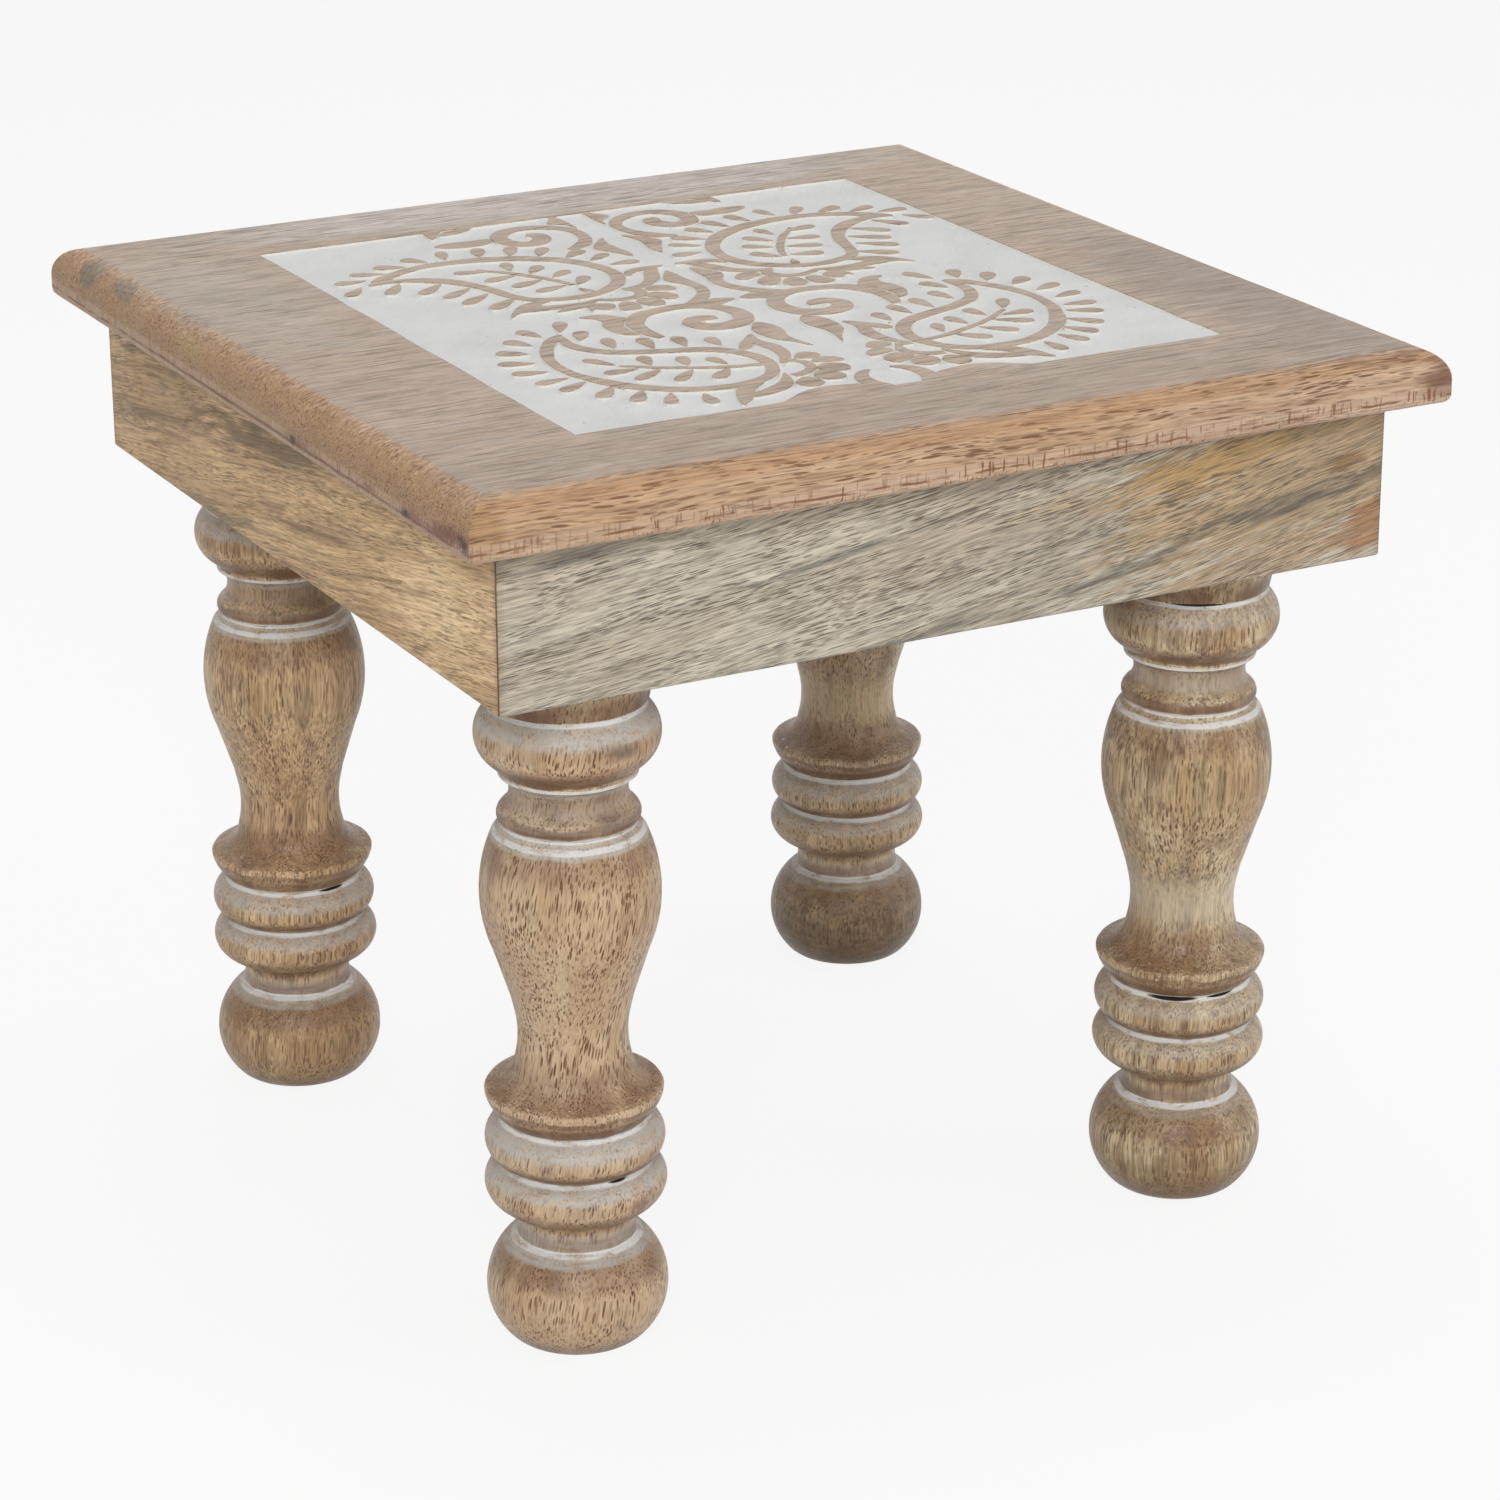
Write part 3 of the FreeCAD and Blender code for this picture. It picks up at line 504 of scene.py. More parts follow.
@dataclass(frozen=True)
class SlabFinish:
    """The top: bare wood with a milky film on its flat, partly painted sheen, and the whitewashed
    ground, its carved sides painted lighter as a highlight.
    """

    wood: Wood
    top_mm: float = 267.0
    # the flat's milky film: partly a real film, partly painted sheen
    film: Colour = (0.405, 0.35, 0.30)
    film_fibre: Colour = (0.18, 0.135, 0.10)
    film_pale: Colour = (0.53, 0.465, 0.405)
    edge_pale: Colour = (0.66, 0.49, 0.36)
    score: Colour = (0.23, 0.095, 0.045)
    wash: Colour = (0.67, 0.675, 0.66)
    wash_shade: Colour = (0.61, 0.615, 0.605)
    # the carved sides: real whitewash, painted creamier and lighter as a highlight
    wall_wash_and_highlight: Colour = (0.80, 0.77, 0.69)
    chip: Colour = (0.78, 0.60, 0.45)
    rubbed: Colour = (0.40, 0.34, 0.28)
    speck: Colour = (0.19, 0.17, 0.14)
    panel_half: tuple[float, float] = (122.0, 128.0)
    panel_rim_mm: float = 3.0
    ground_ends_mm: tuple[float, float] = (4.0, 3.0)
    low_mm: tuple[float, float] = (9.8, 11.0)
    chips_mm: tuple[float, float] = (13.2, 14.2)
    scored: Band = Band(13.6, 14.0, 0.9, 0.3, 0.3)
    knots: tuple[Stain, ...] = ()

    def lower_edge(self, sheet: Sheet, colour: Shade, depth: Shade) -> Shade:
        """Bare the lower edge and score it with the cutter's marks.

        Args:
            sheet: the material's sheet.
            colour: the colour of the wood.
            depth: how far a point lies below the top, in mm.

        Returns:
            The changed colour.
        """
        low = depth.step(*self.low_mm)
        colour = sheet.mix(low * 0.35, colour, self.edge_pale)
        gather = sheet.waves((17, 17, 30), 2).step(0.42, 0.6)
        ticks = sheet.waves((0.85, 0.85, 7), 3).step(0.56, 0.62)
        colour = sheet.mix(low * ticks * (gather * 0.5 + 0.4), colour, self.score)
        wobble = sheet.waves((9, 9, 9), 3) * 1.6
        line = self.scored.lay(depth + wobble)
        broken = sheet.waves((6, 6, 1), 3).step(0.4, 0.55)
        colour = sheet.mix(line * broken, colour, self.score)
        chips = sheet.waves((0.9, 0.9, 0.7), 2).step(0.6, 0.7) * depth.step(*self.chips_mm)
        return sheet.mix(chips * 0.5, colour, self.chip)

    def ground(self, sheet: Sheet, depth: Shade) -> tuple[Shade, Shade, Shade]:
        """The sunk ground under its whitewash.

        Args:
            sheet: the material's sheet.
            depth: how far a point lies below the top, in mm.

        Returns:
            Where the ground is, its colour and its relief.
        """
        x, y = sheet.axis(0).size(), sheet.axis(1).size()
        wide, deep = self.panel_half
        inside = x.step(wide, wide - self.panel_rim_mm) * y.step(deep, deep - self.panel_rim_mm)
        ragged = sheet.waves((1.1, 1.1, 1.1), 3)
        where = (depth + (ragged - 0.5) * 0.35).step(0.1, 0.3)
        where = where * depth.step(*self.ground_ends_mm) * inside
        cloud = sheet.waves((22, 14, 22), 4, (0, 0, 30))
        brushed = sheet.waves((14, 3, 4), 4, (0, 0, 50), 1.5)
        shade = brushed.step(0.4, 0.75) * 0.3 + cloud.step(0.4, 0.65) * 0.6
        colour = sheet.mix(shade, self.wash, self.wash_shade)
        # partly real whitewash, partly painted highlight: the carved sides lighter than the
        # ground
        wall_wash_and_highlight = depth.step(0.15, 0.3) * depth.step(0.85, 0.6)
        colour = sheet.mix(wall_wash_and_highlight * 0.85, colour, self.wall_wash_and_highlight)
        worn = sheet.waves((5, 1.1, 5), 4, (0, 0, 20)).step(0.66, 0.74)
        colour = sheet.mix(worn * 0.4, colour, self.rubbed)
        specks, own = sheet.cells(sheet.grain((6, 4, 6), (0, 0, 25)))
        specks = specks.step(0.09, 0.05) * own.step(0.4, 0.8)
        colour = sheet.mix(specks * 0.8, colour, self.speck)
        gouges = sheet.waves((9, 2.6, 9), 3, (0, 0, 62), 0.8)
        return where, colour, gouges * 2.2 + ragged * 0.5

    def build(self) -> bpy.types.Material:
        """Make the material.

        Returns:
            The finished material.
        """
        sheet = Sheet(bpy.data.materials.new("slab_wood"))
        colour, relief = self.wood.colour(sheet)
        depth = self.top_mm - sheet.axis(2)
        # the milky film on the flat, its fibres and pale streaks: partly a real film, partly
        # painted sheen
        haze = sheet.waves((45, 9, 9), 4).step(0.3, 0.7)
        ragged = sheet.waves((9, 0.8, 2), 3)
        flat = (depth + (ragged - 0.5) * 0.35).step(0.42, 0.1)
        colour = sheet.mix(flat * (haze * 0.2 + 0.45), colour, self.film)
        fibres = sheet.waves((20, 1.7, 3), 5, (0, 0, 1.5), 0.2).step(0.5, 0.66)
        patchy = sheet.waves((50, 26, 20), 2).step(0.3, 0.6)
        colour = sheet.mix(flat * fibres * (patchy * 0.4 + 0.35), colour, self.film_fibre)
        thin = sheet.waves((25, 0.7, 3), 3, (0, 0, 1.2)).step(0.54, 0.64)
        colour = sheet.mix(flat * thin * (patchy * 0.3 + 0.25), colour, self.film_fibre)
        milky = sheet.waves((22, 3, 3), 5, (0, 0, 1), centre=(9, 9, 0)).step(0.5, 0.7)
        colour = sheet.mix(flat * milky * 0.35, colour, self.film_pale)
        colour = self.lower_edge(sheet, colour, depth)
        for knot in self.knots:
            colour = knot.lay(sheet, colour, ragged - 0.5)
        where, wash, gouges = self.ground(sheet, depth)
        colour = sheet.mix(where, colour, wash)
        relief = relief * (1.0 - where) + gouges * where
        roughness = where * 0.32 + 0.44 + (haze - 0.5) * 0.1
        return sheet.surface(colour, roughness, relief, 0.12, Specular_IOR_Level=0.25)


@dataclass(frozen=True)
class BoardFinish:
    """An apron board: waxed wood, dark in the mitre's seam."""

    name: str
    wood: Wood
    worn_mm: tuple[float, float] = (136.5, 138.7)
    seam_mm: tuple[float, float] = (138.9, 139.3)
    seam: Colour = (0.10, 0.055, 0.03)
    worn: Colour = (0.26, 0.17, 0.10)

    def build(self) -> bpy.types.Material:
        """Make the material.

        Returns:
            The finished material.
        """
        sheet = Sheet(bpy.data.materials.new(self.name))
        colour, relief = self.wood.colour(sheet)
        near = sheet.axis(0).size().least(sheet.axis(1).size())
        worn = near.step(*self.worn_mm)
        colour = sheet.mix(worn * 0.25, colour, self.worn)
        seam = near.step(*self.seam_mm)
        colour = sheet.mix(seam * 0.7, colour, self.seam)
        roughness = sheet.waves((20, 20, 20), 2) * 0.2 + 0.42
        return sheet.surface(colour, roughness, relief, 0.12, Specular_IOR_Level=0.25)


@dataclass(frozen=True)
class LegFinish:
    """A turned leg: satin wood, painted shade in the coves and under the beads, whitewash left in
    the grooves.
    """

    name: str
    wood: Wood
    turned_mm: float = 212.0
    wash: Colour = (0.76, 0.75, 0.73)
    film: Colour = (0.53, 0.515, 0.485)
    # painted shade: the dark colour laid in the coves and under the beads
    brown: Colour = (0.17, 0.085, 0.04)
    blotch: Colour = (0.17, 0.11, 0.085)
    lines: tuple[Band, ...] = (
        Band(30.5, 31.5, 0.95), Band(53.7, 54.7, 0.95), Band(67.2, 68.5, 0.95),
        Band(153.4, 154.5, 0.9, 0.3, 0.3), Band(155.9, 156.9, 0.85, 0.3, 0.3),
        Band(170.3, 171.2, 0.85, 0.3, 0.3), Band(190.4, 191.4, 1.0, 0.3, 0.4),
    )
    films: tuple[Band, ...] = (
        Band(29.0, 30.5, 0.7, 1.5, 1.0), Band(32.0, 35.0, 0.4, 1.0, 3.0),
        Band(51.2, 54.0, 0.8, 2.4, 1.0), Band(63.8, 67.5, 0.8, 2.8, 0.7),
        Band(152.6, 157.0, 0.7, 1.0, 0.8), Band(159.0, 166.0, 0.18, 1.0, 3.0),
        Band(168.5, 171.0, 0.5, 2.0, 0.7), Band(186.2, 191.0, 0.85, 2.6, 0.7),
    )
    # painted shade: the heights of the dark bands in the coves and under the beads
    painted_shade_bands: tuple[Band, ...] = (
        Band(0.0, 2.0, 0.75, 1.0, 5.0), Band(24.5, 29.5, 0.6, 5.0, 1.0),
        Band(31.6, 33.5, 0.9, 0.3, 3.0), Band(39.0, 43.5, 0.7, 3.0, 3.0),
        Band(55.0, 57.0, 0.95, 0.4, 3.0), Band(68.6, 71.5, 0.95, 0.3, 3.0),
        Band(73.5, 74.6, 0.8, 1.0, 0.6), Band(78.0, 83.0, 0.6, 2.0, 7.0),
        Band(148.5, 152.5, 0.45, 6.0, 0.8),
        Band(157.2, 159.6, 0.95, 0.3, 1.2), Band(163.0, 169.5, 0.6, 3.0, 0.5),
        Band(172.4, 175.5, 0.95, 0.5, 4.0), Band(182.5, 185.5, 0.2, 2.0, 2.0),
        Band(191.8, 194.0, 0.95, 0.4, 5.0),
    )
    glint: Band = Band(74.5, 77.0, 0.8, 1.0, 3.0)
    film_level: float = 1.0
    stains: tuple[Stain, ...] = ()

    @staticmethod
    def layers(height: Shade, bands: tuple[Band, ...]) -> Shade:
        """The highest level of several bands.

        Args:
            height: the height at a point, in mm.
            bands: the bands.

        Returns:
            The level there.
        """
        level = bands[0].lay(height)
        for band in bands[1:]:
            level = level.most(band.lay(height))
        return level

    def build(self) -> bpy.types.Material:
        """Make the material.

        Returns:
            The finished material.
        """
        sheet = Sheet(bpy.data.materials.new(self.name))
        colour, relief = self.wood.colour(sheet)
        height = sheet.axis(2)
        below = height.step(self.turned_mm + 1.0, self.turned_mm - 1.0)
        patches = sheet.waves((11, 11, 26), 4, twist=0.5)
        colour = sheet.mix(patches.step(0.57, 0.7) * 0.35, colour, self.blotch)
        # painted shade: patchy darkening in the coves and under the beads
        brown = self.layers(height + (patches - 0.5) * 4.0, self.painted_shade_bands)
        colour = sheet.mix(brown * (patches.step(0.3, 0.6) * 0.5 + 0.5), colour, self.brown)
        ragged = (sheet.waves((7, 7, 2), 4) - 0.5) * 1.4
        rubbed = sheet.waves((6, 6, 1.2), 4)
        glints = sheet.waves((1, 1, 0.5), 1).step(0.68, 0.74)
        glints = glints * self.glint.lay(height)
        film = self.layers(height + ragged, self.films)
        film = film * (rubbed.step(0.3, 0.6) * 0.6 + 0.4)
        colour = sheet.mix(film * below * self.film_level, colour, self.film)
        line = self.layers(height + ragged * 0.4, self.lines)
        line = line * (rubbed.step(0.32, 0.5) * 0.7 + 0.3)
        colour = sheet.mix(line * below, colour, self.wash)
        for stain in self.stains:
            colour = stain.lay(sheet, colour, ragged * 0.2)
        lathe = sheet.waves((60, 60, 0.6), 2)
        relief = relief + lathe * 0.7 * below + line * 0.5
        colour = sheet.mix(glints, colour, self.wash)
        roughness = line * 0.3 + film * 0.15 + 0.34 + (rubbed - 0.5) * 0.25
        return sheet.surface(colour, roughness, relief, 0.1, Specular_IOR_Level=0.32)


@dataclass(frozen=True)
class BattenFinish:
    """Sawn, unfinished wood for the pieces under the slab and inside the joints."""

    name: str
    wood: Wood

    def build(self) -> bpy.types.Material:
        """Make the material.

        Returns:
            The finished material.
        """
        sheet = Sheet(bpy.data.materials.new(self.name))
        colour, relief = self.wood.colour(sheet)
        saw = sheet.waves((1.6, 30, 30), 2, (0, 12, 8))
        return sheet.surface(colour, saw * 0.15 + 0.7, relief + saw * 0.6, 0.16)


@dataclass(frozen=True)
class ZincFinish:
    """Zinc-plated steel for the screws."""

    bright: Colour = (0.60, 0.60, 0.58)
    dull: Colour = (0.46, 0.45, 0.42)

    def build(self) -> bpy.types.Material:
        """Make the material.

        Returns:
            The finished material.
        """
        sheet = Sheet(bpy.data.materials.new("screw_steel"))
        spangle = sheet.waves((1.2, 1.2, 1.2), 4)
        colour = sheet.mix(spangle.step(0.4, 0.7), self.bright, self.dull)
        return sheet.surface(colour, spangle * 0.3 + 0.22, spangle, 0.03, Metallic=1.0)


@dataclass(frozen=True)
class FloorFinish:
    """The studio floor: matt and pale, brightened towards white where the camera sees it."""

    colour: Colour = (0.74, 0.74, 0.74)
    brightening: float = 0.88

    def build(self) -> bpy.types.Material:
        """Make the material.

        Returns:
            The finished material.
        """
        sheet = Sheet(bpy.data.materials.new("studio_floor"))
        matt = sheet.node("ShaderNodeBsdfDiffuse", {}, {"Color": self.colour})
        glow = sheet.node("ShaderNodeEmission", {}, {"Color": WHITE, "Strength": 1.0})
        share = sheet.white_where_seen() * self.brightening
        return sheet.close(sheet.node("ShaderNodeMixShader", {}, {0: share, 1: matt, 2: glow}))


def catmull(points: list[Vector], steps: int, closed: bool) -> list[Vector]:
    """A smooth line through points.

    Args:
        points: the points to pass through.
        steps: how many points each stretch gets.
        closed: whether the last point joins the first.

    Returns:
        The points of the line, without a repeat of the first when closed.
    """
    count = len(points)
    line = []
    for index in range(count if closed else count - 1):
        if closed:
            a, b, c, d = (points[(index + shift) % count] for shift in (-1, 0, 1, 2))
        else:
            b, c = points[index], points[index + 1]
            a = points[index - 1] if index else b
            d = points[index + 2] if index + 2 < count else c
        for step in range(steps):
            t = step / steps
            line.append(
                (b * 2.0 + (c - a) * t + (a * 2.0 - b * 5.0 + c * 4.0 - d) * t * t
                 + (b * 3.0 - a - c * 3.0 + d) * t * t * t) * 0.5
            )
    return line if closed else line + [points[-1]]


@dataclass(frozen=True)
class Drop:
    """A carved drop, pointed at its tip and round at its head."""

    tip: tuple[float, float]
    head: tuple[float, float]
    width: float
    stations: tuple[float, ...] = (0.12, 0.27, 0.42, 0.57, 0.7, 0.81, 0.9, 0.96)

    def outlines(self) -> list[list[Vector]]:
        """Lay out the drop.

        Returns:
            Its one closed outline.
        """
        tip, head = Vector(self.tip), Vector(self.head)
        along = head - tip
        across = along.orthogonal().normalized() * self.width * 0.62
        sides = [
            (tip + along * t, across * t**0.8 * math.sqrt(1.0 - t**3.2)) for t in self.stations
        ]
        left = [centre + half for centre, half in sides]
        right = [centre - half for centre, half in reversed(sides)]
        return [[tip, *left, head, *right]]


@dataclass(frozen=True)
class Leaf:
    """A carved leaf or petal, from the points of its outline."""

    points: tuple[tuple[float, float], ...]

    def outlines(self) -> list[list[Vector]]:
        """The leaf's one closed outline."""
        return [catmull([Vector(point) for point in self.points], 3, closed=True)]


@dataclass(frozen=True)
class Ribbon:
    """A carved band, from the points of its middle line, each with the band's width."""

    stations: tuple[Point, ...]

    def outlines(self) -> list[list[Vector]]:
        """Lay out the band.

        Returns:
            Triangles that together cover it.
        """
        line = catmull([Vector(station) for station in self.stations], 4, closed=False)
        rails = []
        for before, here, after in zip([line[0], *line], line, [*line[1:], line[-1]]):
            across = (after - before).to_2d().orthogonal().normalized() * here.z * 0.5
            rails.append((here.to_2d() + across, here.to_2d() - across))
        triangles = []
        for (left, right), (next_left, next_right) in zip(rails, rails[1:]):
            triangles += [[left, right, next_right], [left, next_right, next_left]]
        return triangles


# The left half of the carving, as measured on a squared drawing of the top: x to the right,
# y to the front, 749.5 in the middle of the slab, 0.2017 mm to a square.
UPPER_PAISLEY = (
    Ribbon((
        (323, 455, 5), (345, 435, 16), (370, 418, 20), (405, 400, 20), (445, 389, 20),
        (490, 389, 22), (530, 395, 24), (565, 406, 24), (600, 425, 26), (634, 452, 24),
        (658, 490, 22), (670, 530, 20), (670, 570, 20), (655, 608, 22), (628, 636, 20),
        (595, 655, 18), (560, 660, 20), (525, 654, 18), (497, 640, 18), (482, 612, 18),
        (474, 580, 18), (466, 548, 20), (453, 515, 20), (433, 486, 24), (405, 464, 24),
        (375, 451, 18), (345, 448, 14), (323, 456, 5),
    )),
    Leaf(((326, 453), (350, 432), (372, 428), (366, 440), (378, 446), (350, 455))),
    Ribbon(((500, 447, 7), (515, 465, 8), (535, 487, 11), (552, 513, 12), (566, 537, 12),
            (577, 562, 10), (588, 594, 8))),
    Leaf(((587, 616), (596, 628), (600, 640), (586, 640))),
    Drop((512, 462), (461, 450), 27), Drop((543, 474), (554, 429), 25),
    Drop((537, 503), (484, 515), 28), Drop((562, 505), (594, 467), 28),
    Drop((560, 545), (505, 563), 28), Drop((580, 541), (619, 512), 27),
    Drop((578, 592), (524, 604), 28), Drop((595, 596), (628, 556), 28),
    Drop((455, 372), (428, 334), 30), Drop((485, 366), (498, 320), 26),
    Drop((536, 380), (556, 329), 28), Drop((580, 395), (604, 345), 28),
    Drop((618, 415), (647, 373), 28), Drop((648, 447), (692, 413), 30),
    Drop((672, 480), (714, 450), 26), Drop((688, 514), (737, 512), 28),
    Drop((415, 380), (370, 361), 30), Drop((371, 402), (321, 384), 26),
    Drop((332, 424), (281, 423), 28), Drop((308, 458), (272, 496), 27),
    Drop((366, 465), (327, 514), 28), Drop((420, 494), (370, 537), 28),
    Drop((447, 537), (391, 575), 28), Drop((456, 579), (401, 618), 28),
    Drop((480, 622), (425, 661), 30),
)
UPPER_FOOT = (
    Leaf(((429, 717), (445, 688), (466, 665), (495, 655), (520, 660), (497, 672), (503, 684),
          (545, 690), (582, 684), (592, 690), (560, 698), (520, 706), (480, 703), (452, 701))),
    Leaf(((500, 722), (520, 706), (545, 700), (572, 698), (558, 713), (530, 719))),
    Ribbon(((583, 688, 9), (604, 700, 13), (628, 703, 14), (648, 692, 16), (657, 673, 18),
            (648, 656, 14))),
    Ribbon(((640, 654, 12), (666, 650, 14), (690, 636, 18), (708, 612, 22), (722, 584, 22),
            (733, 566, 14), (742, 556, 6))),
    Ribbon(((683, 586, 4), (692, 570, 15), (712, 560, 17), (735, 557, 11), (754, 556, 4))),
    Leaf(((671, 662), (688, 655), (706, 662), (713, 680), (703, 691), (686, 683), (672, 677))),
    Leaf(((653, 701), (668, 689), (686, 697), (696, 715), (691, 732), (677, 736), (664, 722))),
    Leaf(((629, 720), (642, 712), (657, 721), (664, 740), (654, 757), (638, 756), (628, 742))),
    Leaf(((600, 720), (616, 717), (623, 737), (618, 756), (601, 763), (586, 755), (592, 738))),
    Leaf(((559, 707), (577, 709), (591, 721), (584, 738), (570, 746), (556, 733), (547, 741),
          (550, 722))),
)
UPPER_SCROLL = (
    Ribbon(((676, 403, 8), (699, 391, 22), (719, 369, 22), (731, 340, 18), (733, 308, 18),
            (722, 280, 21), (698, 260, 22), (668, 250, 22), (638, 256, 26), (616, 278, 26),
            (610, 308, 26), (620, 334, 28), (645, 343, 28), (667, 326, 30), (671, 301, 26),
            (656, 291, 16))),
    Leaf(((743, 202), (729, 219), (716, 241), (724, 252), (738, 262), (744, 288), (747, 245))),
    Leaf(((752, 363), (735, 378), (719, 399), (712, 420), (721, 440), (731, 462), (742, 484),
          (748, 460), (744, 430), (742, 400))),
    Leaf(((501, 292), (525, 281), (560, 284), (596, 286), (591, 304), (574, 315), (545, 316),
          (519, 309))),
    Leaf(((519, 242), (520, 217), (528, 196), (560, 190), (541, 219), (528, 240))),
    Leaf(((539, 233), (552, 215), (575, 209), (606, 196), (592, 220), (566, 232))),
)
MIDDLE_SCROLL = (
    Ribbon(((745, 588, 3), (740, 610, 20), (734, 637, 32), (741, 662, 22), (745, 690, 18),
            (738, 720, 19), (722, 745, 20), (703, 765, 22), (680, 780, 18))),
    Ribbon(((570, 915, 12), (565, 896, 19), (563, 865, 22), (568, 835, 26), (582, 808, 28),
            (605, 790, 24), (640, 781, 22), (675, 781, 24), (705, 796, 27), (723, 825, 26),
            (727, 858, 29), (712, 890, 32), (680, 904, 33), (652, 895, 34), (641, 869, 28),
            (655, 850, 25), (674, 853, 25), (676, 864, 20))),
    Leaf(((708, 778), (728, 763), (745, 767), (759, 777), (745, 788), (722, 795), (719, 785))),
    Leaf(((513, 765), (532, 762), (552, 768), (565, 785), (571, 800), (558, 815), (548, 840),
          (546, 865), (549, 887), (530, 876), (521, 850), (523, 820), (533, 800), (528, 780))),
    Leaf(((722, 908), (737, 930), (738, 960), (730, 990), (730, 1020), (735, 1054), (719, 1020),
          (704, 999), (698, 970), (701, 936))),
)
LOWER_PAISLEY = (
    Ribbon((
        (446, 835, 5), (427, 852, 18), (408, 878, 18), (391, 910, 18), (379, 945, 16),
        (374, 985, 15), (378, 1030, 17), (390, 1065, 20), (406, 1097, 24), (430, 1128, 24),
        (465, 1158, 22), (500, 1175, 20), (540, 1181, 20), (580, 1175, 19), (613, 1155, 18),
        (634, 1120, 19), (640, 1080, 20), (630, 1041, 21), (607, 1010, 22), (575, 992, 22),
        (540, 980, 21), (505, 967, 20), (470, 948, 20), (447, 920, 20), (438, 885, 17),
        (442, 856, 12), (447, 835, 5),
    )),
    Leaf(((445, 838), (430, 850), (424, 866), (434, 864), (443, 870), (447, 852))),
    Ribbon(((450, 1018, 6), (470, 1033, 8), (495, 1053, 10), (525, 1070, 10), (560, 1086, 11),
            (595, 1098, 11), (628, 1105, 11))),
    Drop((447, 1012), (421, 966), 27), Drop((467, 1043), (415, 1043), 28),
    Drop((494, 1057), (441, 1091), 27), Drop((530, 1083), (486, 1124), 27),
    Drop((579, 1098), (539, 1138), 29), Drop((490, 1035), (499, 988), 27),
    Drop((535, 1060), (546, 1016), 27), Drop((586, 1080), (577, 1038), 26),
    Drop((421, 832), (405, 786), 30), Drop((390, 867), (365, 826), 32),
    Drop((367, 903), (329, 877), 34), Drop((354, 949), (306, 930), 30),
    Drop((351, 997), (302, 984), 29), Drop((362, 1038), (310, 1045), 28),
    Drop((374, 1066), (325, 1093), 29), Drop((396, 1104), (358, 1147), 30),
    Drop((424, 1140), (391, 1186), 30), Drop((451, 1170), (427, 1218), 27),
    Drop((488, 1194), (480, 1244), 27), Drop((455, 819), (480, 770), 27),
    Drop((461, 874), (484, 829), 30), Drop((485, 933), (497, 881), 28),
    Drop((533, 960), (541, 903), 29), Drop((578, 973), (588, 919), 28),
    Drop((622, 992), (626, 946), 28),
)
LOWER_FOOT = (
    Leaf(((687, 960), (664, 981), (646, 1000), (637, 1022), (650, 1026), (664, 1006),
          (681, 992))),
    Ribbon(((654, 1110, 5), (668, 1092, 12), (680, 1066, 20), (682, 1034, 23), (676, 1006, 18),
            (681, 980, 5))),
    Ribbon(((654, 1111, 7), (680, 1107, 8))),
    Ribbon(((676, 1111, 9), (684, 1130, 14), (678, 1152, 15), (660, 1168, 15), (638, 1174, 15))),
    Leaf(((688, 1085), (703, 1077), (718, 1087), (719, 1103), (701, 1109), (683, 1100))),
    Leaf(((696, 1120), (714, 1110), (734, 1121), (737, 1141), (716, 1139), (698, 1131))),
    Leaf(((689, 1150), (704, 1143), (724, 1153), (729, 1172), (717, 1188), (699, 1180),
          (684, 1166))),
    Leaf(((667, 1180), (682, 1171), (698, 1184), (703, 1203), (691, 1219), (672, 1216),
          (661, 1198))),
    Leaf(((628, 1200), (644, 1189), (657, 1199), (659, 1221), (645, 1236), (627, 1231),
          (621, 1214))),
    Leaf(((633, 1157), (618, 1176), (599, 1199), (575, 1214), (548, 1226), (538, 1243),
          (572, 1239), (602, 1226), (623, 1201))),
    Ribbon(((580, 1182, 14), (551, 1201, 24), (534, 1228, 24), (521, 1252, 15), (512, 1266, 4))),
    Leaf(((560, 1296), (580, 1272), (606, 1254), (640, 1244), (678, 1250), (706, 1262),
          (726, 1296))),
    Ribbon(((741, 1200, 5), (723, 1213, 18), (713, 1236, 22), (713, 1262, 24), (722, 1292, 30))),
)
CARVING = (UPPER_PAISLEY, UPPER_FOOT, UPPER_SCROLL, MIDDLE_SCROLL, LOWER_PAISLEY, LOWER_FOOT)


def dress(
    mesh_work: bmesh.types.BMesh,
    name: str,
    finish: bpy.types.Material,
    nodes: tuple[str, ...],
    sharp: float = 30.0,
) -> bpy.types.Object:
    """Turn a bmesh into a piece of the table that stands for CAD nodes.

    Args:
        mesh_work: the finished bmesh, which is freed.
        name: the piece's name.
        finish: its material.
        nodes: the nodes that it replaces.
        sharp: the angle in degrees above which an edge stays sharp.

    Returns:
        The piece.
    """
    for face in mesh_work.faces:
        face.smooth = True
    for edge in mesh_work.edges:
        if len(edge.link_faces) == 2 and edge.calc_face_angle(0.0) > math.radians(sharp):
            edge.smooth = False
    mesh = bpy.data.meshes.new(name)
    mesh_work.to_mesh(mesh)
    mesh_work.free()
    mesh.materials.append(finish)
    piece = bpy.data.objects.new(name, mesh)
    bpy.context.scene.collection.objects.link(piece)
    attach(piece, "root")
    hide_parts(*nodes)
    log.info("%s: %d faces, stands for %s", name, len(mesh.polygons), ", ".join(nodes))
    return piece


